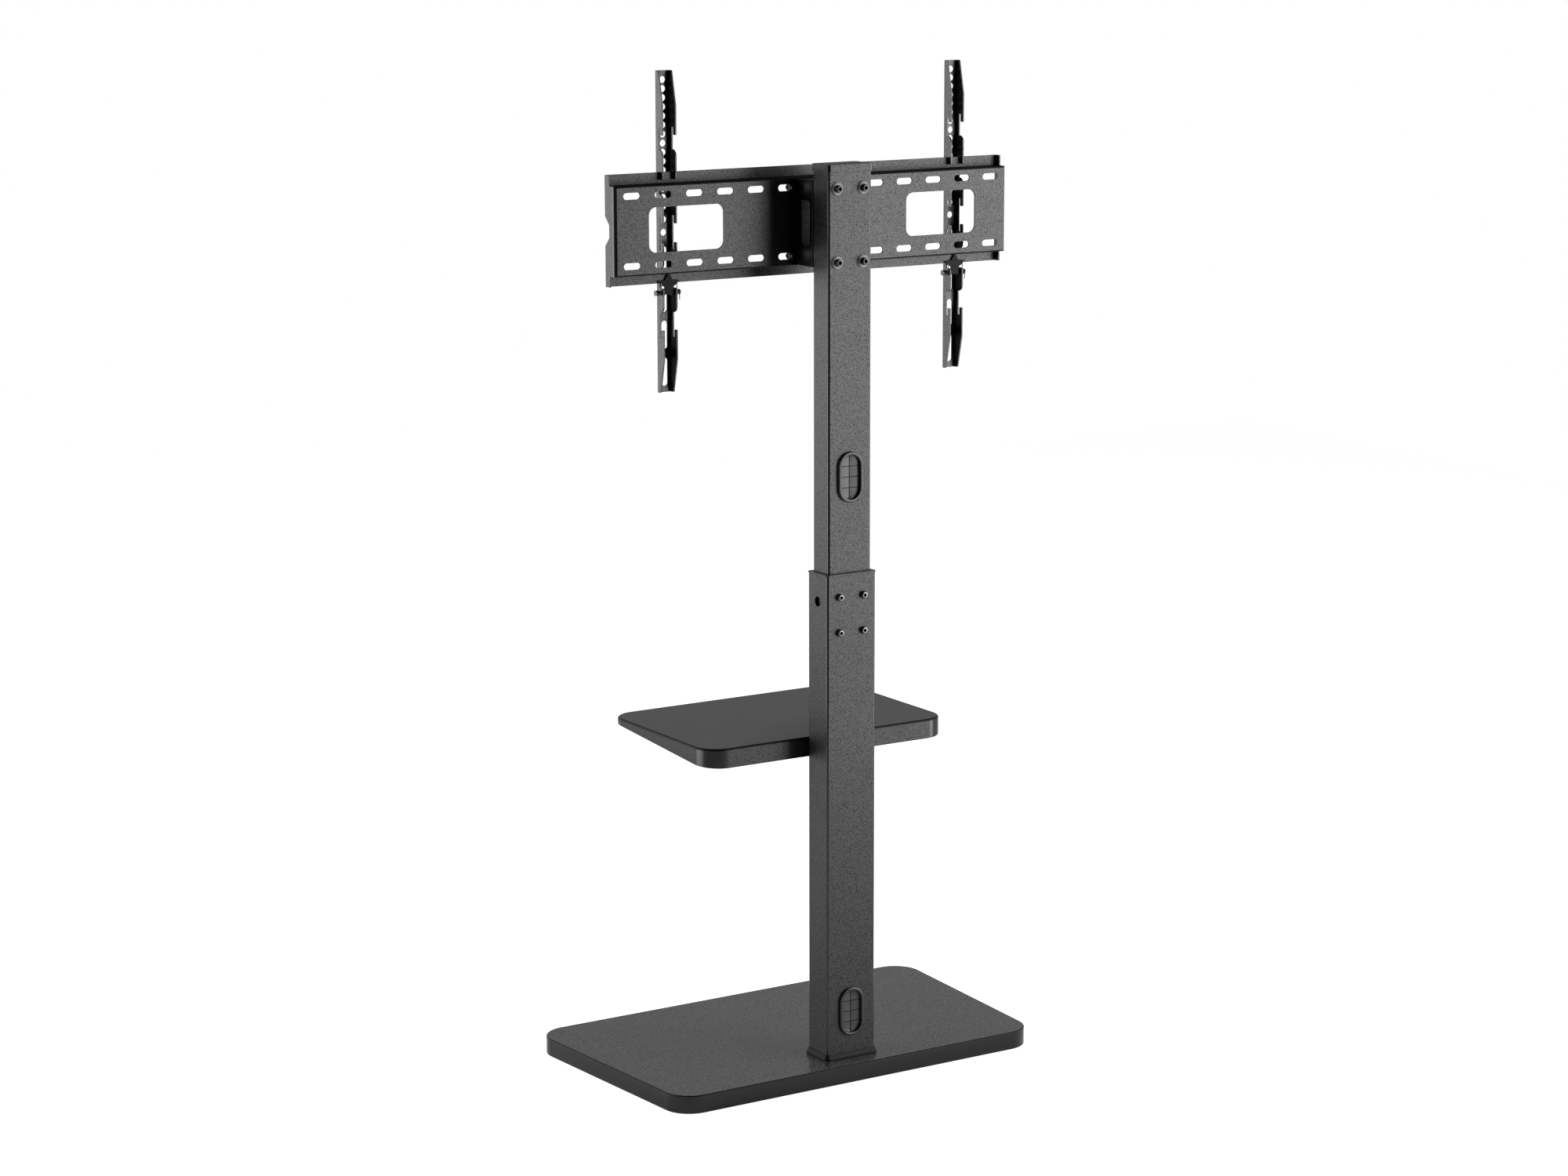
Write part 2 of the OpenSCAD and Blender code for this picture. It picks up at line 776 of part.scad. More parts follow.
// The slope of the shelf's lower edge, and its height at a distance from the rear edge
function shelf_h_at(y) = shelf_rear_h + (shelf_front_h - shelf_rear_h) * y / shelf_d;

// Everything below the shelf's sloping lower edge, from a distance before its front to one behind its rear
module below_shelf() {
    rear = shelf_rear_y + shelf_d;
    front = shelf_rear_y - 2 * shelf_d;
    plate_yz(-shelf_w, 2 * shelf_w)
        polygon([[rear, shelf_top - shelf_h_at(-shelf_d)], [front, shelf_top - shelf_h_at(2 * shelf_d)],
                 [front, shelf_top - shelf_h_at(-3 * shelf_d)],
                 [rear, shelf_top - shelf_h_at(-3 * shelf_d)]]);
}

module shelf_tray() {
    color([0.17, 0.17, 0.17])
        at_column()
            difference() {
                translate([0, 0, shelf_top - shelf_rear_h])
                    linear_extrude(shelf_rear_h)
                        shelf_outline(0);
                translate([0, 0, shelf_top - shelf_rear_h - cut_over])
                    linear_extrude(shelf_rear_h - shelf_t + cut_over)
                        shelf_outline(shelf_t);
                below_shelf();
                // the rear edge stands open round the bracket
                translate([-shelf_bracket_w / 2 - slide_gap, shelf_rear_y - shelf_t - cut_over,
                           shelf_top - shelf_h_at(-shelf_d)])
                    cube([shelf_bracket_w + 2 * slide_gap, shelf_t + 2 * cut_over,
                          shelf_h_at(-shelf_d) - shelf_t]);
            }
}

// The stiffener is a plate under the shelf's top, as long as the bracket
stiffener_d = shelf_bracket_len;
shelf_screw_shares = [0.25, 0.85];
shelf_screw_places = [for (x = [-1, 1], k = shelf_screw_shares)
    [x * shelf_bracket_w / 4, shelf_bracket_front_y - k * shelf_bracket_len]];
stiffener_low = shelf_top - shelf_t - stiffener_t;

module shelf_stiffener() {
    color([0.17, 0.17, 0.17])
        at_column()
            difference() {
                translate([-stiffener_w / 2, shelf_rear_y - shelf_t - stiffener_d, stiffener_low])
                    cube([stiffener_w, stiffener_d, stiffener_t]);
                for (p = shelf_screw_places)
                    translate([p[0], p[1], stiffener_low - cut_over])
                        cylinder(d = shelf_screw_dia + 2 * thread_gap, h = stiffener_t + cut_over);
            }
}

// The shelf bracket: a back plate on the column and a channel that runs forward under the shelf
module shelf_bracket() {
    y0 = shelf_bracket_front_y;
    y1 = y0 - shelf_bracket_len;
    color([0.14, 0.14, 0.14])
        at_column()
            difference() {
                union() {
                    translate([-shelf_bracket_w / 2, y0, stiffener_low - shelf_back_h])
                        cube([shelf_bracket_w, shelf_bracket_t, shelf_back_h]);
                    translate([-shelf_bracket_w / 2, y1, stiffener_low - shelf_bracket_t])
                        cube([shelf_bracket_w, shelf_bracket_len + shelf_bracket_t, shelf_bracket_t]);
                    for (x = [-shelf_bracket_w / 2, shelf_bracket_w / 2 - shelf_bracket_t])
                        plate_yz(x, shelf_bracket_t)
                            polygon([[y0 + shelf_bracket_t, stiffener_low],
                                     [y0 + shelf_bracket_t, stiffener_low - shelf_cheek_rear],
                                     [y1, stiffener_low - shelf_cheek_end], [y1, stiffener_low]]);
                }
                for (p = shelf_bolt_places)
                    rod_y(p[0], y0 - cut_over, p[1], bolt_hole_dia, shelf_bracket_t + 2 * cut_over);
                for (p = shelf_screw_places)
                    translate([p[0], p[1], stiffener_low - shelf_bracket_t - cut_over])
                        cylinder(d = shelf_screw_dia + 2 * hole_gap, h = shelf_bracket_t + 2 * cut_over);
            }
}

module shelf_screws() {
    color([0.08, 0.08, 0.08])
        at_column()
            for (p = shelf_screw_places)
                translate([p[0], p[1], stiffener_low - shelf_bracket_t - shelf_screw_head_h]) {
                    difference() {
                        cylinder(d = shelf_screw_head_dia, h = shelf_screw_head_h);
                        translate([0, 0, -cut_over])
                            cylinder(d = shelf_screw_dia / 2 / cos(30), h = shelf_screw_head_h / 2 + cut_over,
                                     $fn = 6);
                    }
                    translate([0, 0, shelf_screw_head_h])
                        cylinder(d = shelf_screw_dia, h = shelf_bracket_t + stiffener_t);
                }
}

module shelf_bracket_bolts() {
    color([0.08, 0.08, 0.08])
        at_column()
            for (p = shelf_bolt_places)
                socket_bolt(p[0], shelf_bracket_front_y, p[1],
                            shelf_bracket_t + tube_wall + shelf_insert_len, -1);
}

module shelf_bracket_inserts() {
    color([0.6, 0.6, 0.6])
        at_column()
            for (p = shelf_bolt_places)
                ring_y(p[0], -lower_d / 2 + tube_wall + shelf_insert_len, p[1], insert_dia,
                       bolt_dia + 2 * thread_gap, shelf_insert_len);
}

plate_bolt_places = [for (x = [-1, 1], z = [-1, 1])
    [x * plate_bolt_x / 2, plate_cz + z * plate_bolt_z / 2]];

module upper_column() {
    color([0.18, 0.18, 0.18])
        at_column()
            difference() {
                translate([0, 0, upper_low])
                    tube(upper_w, upper_d, upper_len);
                grommet_hole(upper_d, upper_top - upper_grommet_drop);
                for (p = plate_bolt_places)
                    rod_y(p[0], -upper_d / 2 - cut_over, p[1], bolt_hole_dia, upper_d + 2 * cut_over);
                for (x = [-1, 1], k = [0:height_rows - 1])
                    rod_y(x * height_bolt_x / 2, upper_d / 2 - tube_wall - cut_over,
                          lower_top - height_bolt_drop - k * height_pitch, bolt_hole_dia, wall_cut);
            }
}

module column_glide() {
    lap = tube_gap - slide_gap;
    color([0.85, 0.85, 0.82])
        at_column() {
            translate([0, 0, upper_low])
                linear_extrude(glide_h)
                    difference() {
                        rounded_rect(upper_w + 2 * lap, upper_d + 2 * lap, tube_inner_r);
                        rounded_rect(upper_w, upper_d, tube_r);
                    }
            translate([0, 0, upper_low - glide_edge])
                linear_extrude(glide_edge)
                    difference() {
                        rounded_rect(upper_w + 2 * lap, upper_d + 2 * lap, tube_inner_r);
                        rounded_rect(upper_w - 2 * tube_wall, upper_d - 2 * tube_wall, tube_inner_r);
                    }
        }
}

module column_cap() {
    plug_w = upper_w - 2 * (tube_wall + thread_gap);
    plug_d = upper_d - 2 * (tube_wall + thread_gap);
    color([0.12, 0.12, 0.12])
        at_column() {
            translate([0, 0, upper_top])
                linear_extrude(cap_t)
                    rounded_rect(upper_w + 2 * cap_lap, upper_d + 2 * cap_lap, tube_r + cap_lap);
            translate([0, 0, upper_top + cap_t - cap_h])
                linear_extrude(cap_h - cap_t)
                    difference() {
                        rounded_rect(upper_w + 2 * cap_lap, upper_d + 2 * cap_lap, tube_r + cap_lap);
                        rounded_rect(upper_w + 2 * thread_gap, upper_d + 2 * thread_gap, tube_r);
                    }
            translate([0, 0, upper_top - cap_h])
                linear_extrude(cap_h)
                    difference() {
                        rounded_rect(plug_w, plug_d, tube_inner_r);
                        rounded_rect(plug_w - 2 * cap_lap, plug_d - 2 * cap_lap, tube_inner_r);
                    }
        }
}

module upper_grommet_ring() {
    color([0.04, 0.04, 0.04])
        at_column()
            grommet_ring(upper_d, upper_top - upper_grommet_drop);
}

module upper_grommet_flaps() {
    color([0.14, 0.14, 0.14])
        at_column()
            grommet_flaps(upper_d, upper_top - upper_grommet_drop);
}

// The hat-shaped bracket between the column and the plate
bracket_screw_x = slot_pitch - slot_len / 2 + slot_w / 2;
bracket_screw_places = [for (x = [-1, 1], z = [-1, 1]) [x * bracket_screw_x, plate_cz + z * slot_row_z]];
bracket_flange_back = web_back_y + bracket_t;

// The bracket's bent sheet, seen from above: web, cheeks and flanges
module hat_profile() {
    w = bracket_w / 2;
    v = w - bracket_t;
    outer = w + bracket_flange_w;
    back = bracket_back_y - bracket_t;
    difference() {
        polygon([
            [-outer, web_back_y], [-v, web_back_y], [-v, back],
            [v, back], [v, web_back_y], [outer, web_back_y],
            [outer, bracket_flange_back], [w, bracket_flange_back], [w, bracket_back_y], [-w, bracket_back_y],
            [-w, bracket_flange_back], [-outer, bracket_flange_back]]);
        for (s = [-1, 1]) {
            bend_bit([s * v, web_back_y], s, 1, bracket_bend_r);
            bend_bit([s * w, bracket_back_y], -s, -1, bracket_bend_r);
        }
    }
}

module hat_bracket() {
    w = bracket_w / 2;
    window_d = plate_standoff - bracket_t - 2 * cheek_window_edge;
    color([0.05, 0.05, 0.05])
        at_column()
            difference() {
                intersection() {
                    translate([0, 0, plate_cz - bracket_h / 2])
                        linear_extrude(bracket_h)
                            hat_profile();
                    translate([0, 0, plate_cz])
                        plate_xz(bracket_back_y + cut_over, plate_standoff + 2 * cut_over)
                            rounded_rect(bracket_w + 2 * bracket_flange_w, bracket_h, bracket_r);
                }
                for (x = [-w - cut_over, w - bracket_t - cut_over])
                    plate_yz(x, bracket_t + 2 * cut_over)
                        translate([bracket_back_y - cheek_window_edge - window_d / 2, plate_cz])
                            rounded_rect(window_d, cheek_window_h, cheek_window_r);
                for (p = plate_bolt_places)
                    rod_y(p[0], bracket_back_y - bracket_t - cut_over, p[1],
                          bolt_hole_dia, bracket_t + 2 * cut_over);
                for (p = bracket_screw_places)
                    rod_y(p[0], web_back_y - cut_over, p[1], bolt_hole_dia, bracket_t + 2 * cut_over);
            }
}

module plate_bolts() {
    color([0.08, 0.08, 0.08])
        at_column()
            for (p = plate_bolt_places)
                socket_bolt(p[0], upper_d / 2 + washer_t, p[1], washer_t + upper_d + bracket_t + nut_h, 1);
}

module plate_bolt_washers() {
    color([0.12, 0.12, 0.12])
        at_column()
            for (p = plate_bolt_places)
                ring_y(p[0], upper_d / 2 + washer_t, p[1], washer_dia, bolt_hole_dia, washer_t);
}

module plate_bolt_nuts() {
    color([0.5, 0.5, 0.5])
        at_column()
            for (p = plate_bolt_places)
                nut_y(p[0], bracket_back_y - bracket_t, p[1]);
}

module bracket_screws() {
    color([0.08, 0.08, 0.08])
        at_column()
            for (p = bracket_screw_places)
                socket_bolt(p[0], bracket_flange_back, p[1], bracket_t + plate_t + nut_h, 1);
}

module bracket_screw_nuts() {
    color([0.5, 0.5, 0.5])
        at_column()
            for (p = bracket_screw_places)
                nut_y(p[0], web_back_y - plate_t, p[1]);
}

// One side flange of the plate, as a shape in y and z
module plate_side() {
    ear_y = lip_front_y + ear_w;
    notch_y = lip_front_y + notch_depth;
    difference() {
        polygon([
            [web_back_y, web_low], [web_back_y, web_top], [ear_y, web_top],
            [ear_y, lip_top], [lip_front_y, lip_top],
            [lip_front_y, plate_cz + notch_mouth / 2], [notch_y, plate_cz + notch_floor / 2],
            [notch_y, plate_cz - notch_floor / 2], [lip_front_y, plate_cz - notch_mouth / 2],
            [lip_front_y, lip_low], [ear_y, lip_low], [ear_y, web_low]]);
        bend_bit([web_back_y, web_top], -1, -1, plate_bend_r);
        bend_bit([web_back_y, web_low], -1, 1, plate_bend_r);
    }
}

// The plate's bent sheet, seen from its end: lips, ledges and web
module plate_profile() {
    front = web_back_y - plate_t;
    difference() {
        polygon([
            [lip_front_y, lip_top], [lip_front_y, web_top - plate_t], [front, web_top - plate_t],
            [front, web_low + plate_t], [lip_front_y, web_low + plate_t], [lip_front_y, lip_low],
            [lip_back_y, lip_low], [lip_back_y, web_low], [web_back_y, web_low], [web_back_y, web_top],
            [lip_back_y, web_top], [lip_back_y, lip_top]]);
        bend_bit([lip_front_y, web_top - plate_t], 1, 1, plate_bend_r);
        bend_bit([lip_front_y, web_low + plate_t], 1, -1, plate_bend_r);
        bend_bit([web_back_y, web_top], -1, -1, plate_bend_r);
        bend_bit([web_back_y, web_low], -1, 1, plate_bend_r);
    }
}

module mount_plate() {
    color([0.2, 0.2, 0.2])
        at_column() {
            difference() {
                plate_yz(-plate_w / 2, plate_w)
                    plate_profile();
                translate([0, 0, plate_cz])
                    plate_xz(web_back_y + cut_over, plate_t + 2 * cut_over) {
                        for (k = [-slots_each_side:slots_each_side], s = [-1, 1])
                            translate([k * slot_pitch, s * slot_row_z])
                                stadium(slot_len, slot_w);
                        for (s = [-1, 1])
                            translate([s * window_x, 0])
                                rounded_rect(window_w, window_h, window_r);
                    }
            }
            for (x = [-plate_w / 2, plate_w / 2 - plate_t])
                plate_yz(x, plate_t)
                    plate_side();
        }
}

// The rear edge of an arm's flange, as a shape in depth and height from the arm's middle
hook_places = [hook_first, hook_first + hook_pitch, hook_first + 2 * hook_pitch];
function lower_hook(h) = [
    [[arm_depth, -h + hook_tooth], tooth_r], [[hook_root + hook_slot, -h + hook_tooth], tooth_r],
    [[hook_root + hook_slot, -h], 0], [[hook_root, -h], 0]];
function upper_hook(h) = [
    [[hook_root, h], 0], [[hook_root + hook_slot, h], 0],
    [[hook_root + hook_slot, h - hook_tooth], tooth_r], [[arm_depth, h - hook_tooth], tooth_r]];
function lower_shoulder(h) =
    [[[hook_root, -h + lower_notch], 0], [[arm_depth, -h + lower_notch], shoulder_r]];
function upper_shoulder(h) = [[[arm_depth, h - upper_notch], shoulder_r], [[hook_root, h - upper_notch], 0]];
latch_notch_z = pin_z - arm_cz + (pin_dia + pin_head_dia) / 2;
arm_outline = concat(
    [[[0, -arm_len / 2], 0], [[arm_end_depth, -arm_len / 2], end_r],
     [[arm_depth, -arm_len / 2 + arm_taper], 0]],
    lower_hook(hook_places[2]), lower_shoulder(hook_places[2]),
    [[[arm_depth, latch_notch_z], notch_r], [[hook_root, latch_notch_z], 0]],
    lower_shoulder(hook_places[1]),
    lower_hook(hook_places[0]), upper_hook(hook_places[0]),
    upper_shoulder(hook_places[1]), upper_hook(hook_places[1]),
    upper_shoulder(hook_places[2]), upper_hook(hook_places[2]),
    [[[arm_depth, arm_len / 2 - arm_taper], 0], [[arm_end_depth, arm_len / 2], end_r],
     [[0, arm_len / 2], 0]]);

// The holes and slots in an arm's face, as a shape in x and z
module arm_holes_shape() {
    for (k = [0:arm_holes - 1])
        translate([0, arm_hole_top - k * arm_hole_pitch])
            circle(d = arm_hole_dia);
    for (k = [0, 1])
        translate([0, k * arm_mid_pitch])
            circle(d = arm_hole_dia);
    for (k = [0:arm_slots - 1])
        translate([0, -arm_slot_low + k * arm_slot_pitch])
            rotate(90)
                stadium(arm_slot_len, arm_hole_dia);
}

// An arm's bent sheet, seen from above: a channel with round bends
module arm_section() {
    w = arm_w / 2;
    deep = arm_depth + cut_over;
    difference() {
        translate([-w, 0])
            square([arm_w, deep]);
        translate([-w + arm_t, arm_t])
            square([arm_w - 2 * arm_t, deep]);
        bend_bit([-w, 0], 1, 1, arm_bend_r);
        bend_bit([w, 0], -1, 1, arm_bend_r);
    }
}

module arm(x) {
    color([0.22, 0.22, 0.22])
        at_column()
            translate([x, 0, 0])
                difference() {
                    intersection() {
                        translate([0, arm_front_y, arm_cz - arm_len / 2])
                            linear_extrude(arm_len)
                                arm_section();
                        plate_yz(-arm_w, 2 * arm_w)
                            translate([arm_front_y, arm_cz])
                                rounded_outline(arm_outline);
                    }
                    translate([0, 0, arm_cz])
                        plate_xz(arm_front_y + arm_t + cut_over, arm_t + 2 * cut_over)
                            arm_holes_shape();
                    rod_x(-arm_w, pin_y, pin_z, pin_dia + 2 * pin_gap, 2 * arm_w);
                }
}

// The latch: a star-shaped plate behind the lip, and two lugs that turn on the pin
latch_shoulder = latch_body - wire_dia;
latch_tip = wire_dia;
latch_lug_r = pin_dia / 2 + latch_t;
latch_half = [[[latch_tip, latch_finger], 0], [[latch_shoulder, latch_wing_top + latch_tip], 0],
              [[latch_wing, latch_wing_top], 0], [[latch_wing - latch_body, latch_wing_low], 0],
              [[latch_body, latch_wing_low - latch_t], 0], [[latch_body, -latch_tail], 2 * latch_tip]];
latch_outline = concat([for (i = [0:len(latch_half) - 1]) latch_half[i]],
                       [for (i = [len(latch_half) - 1:-1:0])
                           [[-latch_half[i][0][0], latch_half[i][0][1]], latch_half[i][1]]]);

module latch(x) {
    color([0.07, 0.07, 0.07])
        at_column()
            translate([x, pin_y, pin_z]) {
                plate_xz(latch_front + latch_t, latch_t)
                    rounded_outline(latch_outline);
                for (s = [-latch_body, latch_body - latch_t])
                    plate_yz(s, latch_t)
                        difference() {
                            union() {
                                circle(latch_lug_r);
                                translate([0, -latch_tail])
                                    square([latch_front + latch_t, latch_tail + latch_lug_r]);
                            }
                            circle(d = pin_dia + 2 * pin_gap);
                        }
            }
}

// The latch pin: a rod with two heads, long enough for a spring outside each flange
spring_pitch_share = 1.42;
spring_pitch = spring_pitch_share * wire_dia;
spring_len = spring_turns * spring_pitch + wire_dia;
spring_start = arm_w / 2 + slide_gap + wire_dia / 2;
pin_half = arm_w / 2 + 2 * slide_gap + spring_len;

module latch_pin(x) {
    color([0.35, 0.35, 0.35])
        at_column()
            translate([x, 0, 0]) {
                rod_x(-pin_half, pin_y, pin_z, pin_dia, 2 * pin_half);
                for (s = [-pin_half - pin_head_t, pin_half])
                    rod_x(s, pin_y, pin_z, pin_head_dia, pin_head_t);
            }
}

// A latch spring: a coil round the pin with one leg behind the latch's wing and one down the arm
spring_r = pin_dia / 2 + slide_gap + wire_dia / 2;
curl_rings = 8;
wire_sides = 6;
leg_depth = latch_front + latch_t + slide_gap + wire_dia / 2;
leg_up = latch_wing_top - wire_dia;
leg_down = -latch_wing_low;
function coil_point(i) = [spring_start + i * spring_pitch / curl_rings,
                          spring_r * cos(360 * i / curl_rings), -spring_r * sin(360 * i / curl_rings)];
spring_end = spring_start + spring_turns * spring_pitch;
spring_path = concat(
    [[spring_start, leg_depth, leg_up], [spring_start, leg_depth, latch_wing_low]],
    [for (i = [0:spring_turns * curl_rings]) coil_point(i)],
    [[spring_end, spring_r, leg_down / 2], [spring_end, spring_r, leg_down]]);

// The direction of the path at a point, and a ring of points round it
function path_dir(p, i) = unit(p[min(i + 1, len(p) - 1)] - p[max(i - 1, 0)]);
function wire_ring(c, dir) =
    let (a = unit(cross(dir, [1, 0.2, 0])), b = cross(dir, a))
    [for (k = [0:wire_sides - 1])
        c + wire_dia / 2 * (a * cos(360 * k / wire_sides) + b * sin(360 * k / wire_sides))];
module wire(p) {
    rings = len(p);
    points = [for (i = [0:rings - 1]) each wire_ring(p[i], path_dir(p, i))];
    side = [for (i = [0:rings - 2], k = [0:wire_sides - 1])
        let (a = i * wire_sides + k, b = i * wire_sides + (k + 1) % wire_sides)
        each [[a, b, a + wire_sides], [b, b + wire_sides, a + wire_sides]]];
    low = [for (k = [1:wire_sides - 2]) [0, k + 1, k]];
    last = (rings - 1) * wire_sides;
    high = [for (k = [1:wire_sides - 2]) [last, last + k, last + k + 1]];
    polyhedron(concat(points), concat(side, low, high));
}

// The least free space between the wire and itself, measured between points a turn or more apart
spring_gap = min([for (i = [0:len(spring_path) - 1], j = [0:len(spring_path) - 1])
    if (j - i >= curl_rings - 2) norm(spring_path[i] - spring_path[j])]) - wire_dia;
echo(least_spring_gap = spring_gap);

module latch_spring(x) {
    color([0.3, 0.3, 0.3])
        at_column()
            translate([x, pin_y, pin_z]) {
                wire(spring_path);
                mirror([1, 0, 0])
                    wire(spring_path);
            }
}

module left_arm() { arm(left_arm_x); }
module right_arm() { arm(right_arm_x); }
module left_latch() { latch(left_arm_x); }
module right_latch() { latch(right_arm_x); }
module left_latch_pin() { latch_pin(left_arm_x); }
module right_latch_pin() { latch_pin(right_arm_x); }
module left_latch_spring() { latch_spring(left_arm_x); }
module right_latch_spring() { latch_spring(right_arm_x); }

base_board();
base_edge_band();
base_pads();
foot_plate();
base_bolts();
base_bolt_washers();
foot_collar();
lower_column();
column_rim();
height_bolts();
height_bolt_inserts();
lower_grommet_ring();
lower_grommet_flaps();
shelf_tray();
shelf_stiffener();
shelf_bracket();
shelf_screws();
shelf_bracket_bolts();
shelf_bracket_inserts();
upper_column();
column_glide();
column_cap();
upper_grommet_ring();
upper_grommet_flaps();
hat_bracket();
plate_bolts();
plate_bolt_washers();
plate_bolt_nuts();
mount_plate();
bracket_screws();
bracket_screw_nuts();
left_arm();
left_latch();
left_latch_pin();
left_latch_spring();
right_arm();
right_latch();
right_latch_pin();
right_latch_spring();
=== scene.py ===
"""Looks of the free-standing television stand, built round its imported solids.

Blender works in metres, +Z up, the television on -Y.
Sizes are in millimetres, unless a comment says otherwise.
"""

import math

import bmesh
import bpy
from mathutils import Matrix, Vector


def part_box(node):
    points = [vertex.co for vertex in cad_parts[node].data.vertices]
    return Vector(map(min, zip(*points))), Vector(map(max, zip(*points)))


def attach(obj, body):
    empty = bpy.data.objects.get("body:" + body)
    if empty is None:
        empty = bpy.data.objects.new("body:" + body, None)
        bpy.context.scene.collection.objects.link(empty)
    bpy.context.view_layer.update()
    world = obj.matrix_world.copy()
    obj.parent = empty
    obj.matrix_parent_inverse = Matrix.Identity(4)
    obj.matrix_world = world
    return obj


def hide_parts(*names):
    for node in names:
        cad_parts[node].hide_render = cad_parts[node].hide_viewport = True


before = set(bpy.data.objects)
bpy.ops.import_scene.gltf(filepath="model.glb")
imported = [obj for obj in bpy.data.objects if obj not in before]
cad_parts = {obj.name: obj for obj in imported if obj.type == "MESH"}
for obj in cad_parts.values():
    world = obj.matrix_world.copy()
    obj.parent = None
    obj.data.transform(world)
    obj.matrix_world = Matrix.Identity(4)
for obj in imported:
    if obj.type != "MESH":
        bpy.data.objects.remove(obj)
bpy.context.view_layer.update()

MM = 0.001


# Places taken from the frame


def node_box(name):
    """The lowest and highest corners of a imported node, to a hundredth of a millimetre."""
    return [[round(v / MM, 2) for v in corner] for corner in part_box(name)]


def node_middle(name):
    return [(low + high) / 2 for low, high in zip(*node_box(name))]


LOWER_FACE = node_box("lower_column")[1][1]
UPPER_FACE = node_box("upper_column")[1][1]
COLUMN_Y = node_middle("lower_column")[1] * MM


# Sizes of the pieces that are drawn here

CORNER_STEPS = 12
ROUND_POINTS = 48
END_STEPS = 14

BAND_FRONT_HALF_W = 322.5
BAND_REAR_HALF_W = 297.5
BAND_CORNER = 40.0
BAND_THICK = 1.0
BAND_FOOT_EASE = 0.5
BAND_ROLL = 1.4
BAND_ROLL_HIGH = 1.5
BAND_ROLL_TURNS = (0.35, 0.7, 1.0)
BAND_HAIR = 0.15

SHELF_CORNER = 35.0
SHELF_FRONT_DEPTH = 8.0
SHELF_NOTCH_HALF_W = 30.3
SHELF_SHEET = 2.0
SHELF_ROLL = 3.0
SHELF_ROLL_TURNS = (0, 0.3, 0.6, 0.9, 1.2, math.pi / 2)
NOTCH_GAP = 0.2

HEAD_DIA = 10.4
HEAD_FOOT_EASE = 0.3
SOCKET_TURN = 0.2
SHANK_DIA = 6.0
THREAD_EASE = 0.4
# How far in from the head's side, and how far below its top
HEAD_ROLL = ((0, 0.9), (0.25, 0.35), (0.8, 0))
# Across the hexagon's flats, and how far below the head's top
SOCKET = ((5.6, 0), (5.0, 0.4), (5.0, 3.4), (0.6, 4.2))
LOWER_HEAD_HIGH = 4.8
LOWER_SHANK = 4.7
LOWER_BOLTS_APART = 50.0
# The ring of painted highlight: its radius, or the hexagon's flats, and how far above the head's top
RING_RIM = ((3.8, -0.2), (3.8, 0.05), (3.6, 0.12))
RING_SOCKET = ((5.0, 0.12), (4.9, -0.2))
UPPER_HEAD_HIGH = 6.0
UPPER_SHANK = 48.6
UPPER_BOLTS_APART = 100.0
WASHER_BORE = 3.3
WASHER_RIM = 8.7
WASHER_THICK = 1.6
# How far in from the rim, and how far below the top
WASHER_ROLL = ((0, 0.2), (0.1, 0.05), (0.25, 0))

FLANGE_W = 40.0
FLANGE_H = 71.0
# How far in from the flange's outline, and how far out of the tube's face
FLANGE_PROFILE = ((0.0, 0.0), (0.0, 2.4), (0.2, 3.1), (0.7, 3.7), (1.4, 4.0), (3.2, 4.0), (4.0, 3.75),
                  (4.5, 3.1), (4.6, 2.4), (4.6, -3.4), (3.3, -3.4), (3.3, 0.0))
FLAPS_HALF_W = 15.4
FLAPS_HALF_H = 30.9
FLAP_ROW = 15.0
FLAP_GAP = 0.45
FLAP_THICK = 1.2
FLAP_SUNK = 0.6
FLAP_CURL = 0.75
FLAP_WAVE = 0.25
FLAP_WAVE_TURN = 3.1
FLAP_LEAST = 0.4
FLAP_CELLS = 6

FOLD_RADIUS = 2.6
RAISED_FOLD_RADIUS = 8.0
RAISED_FOLD_LIFT = 5.4
FOLD_NEAR = 0.2
WEB_TOP_BELOW_LIP = 13.9
LIP_BEFORE_BACK = 13.8
PLATE_END_RADIUS = 5.0
PLATE_END_STEPS = 5

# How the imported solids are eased: a width and its segments
CAP_EASE = (0.9, 3)
RIM_EASE = (0.7, 3)
COLLAR_EASE = (1.0, 3)
SHEET_EASE = (0.3, 1)
LATCH_EASE = (0.25, 2)

# Angles in degrees: what counts as flat, as an edge worth easing, and as a crease that stays sharp
FLAT_ANGLE = 0.4
EDGE_ANGLE = 40
CREASE = 38
PAN_CREASE = 50
BOLT_CREASE = 50
RING_CREASE = 30
FLANGE_CREASE = 60
FLAP_CREASE = 40

# How near two points count as one, how much a large face outweighs a small one, and which way a face looks
WELD = 0.002
NEARLY = 0.001
PLANE_WELD = 0.0001
NORMAL_WEIGHT = 80
UPRIGHT = 0.1
LEVEL = 0.9
TOP = 0.97
STRAIGHT = 0.995

# The camera solved from the photograph: pixels, degrees and metres
PHOTO_WIDTH = 2000
LENS_PIXELS = 4756.31
CAMERA_YAW = 147.748
CAMERA_PITCH = 10.975
CAMERA_ROLL = -0.116
CAMERA_PLACE = (2.780981, 4.388508, 1.686449)
SENSOR_WIDTH = 36.0
CLIP_END = 60

# The studio: metres, degrees from +X, and radiance
WHITE = (1, 1, 1, 1)
BLACK = (0, 0, 0, 1)
PAPER = (0.9, 0.9, 0.9, 1)
WORLD_FILL = 0.2
FLOOR_GLOW = 0.8
FLOOR_HALF = 4.5
AIM_HEIGHT = 0.7
LAMP_HEIGHT = 1.0
CARD_DISTANCE = 3.0
CEILING_HEIGHT = 4.0
CEILING_HALF = 6
CEILING_TONE = 0.02

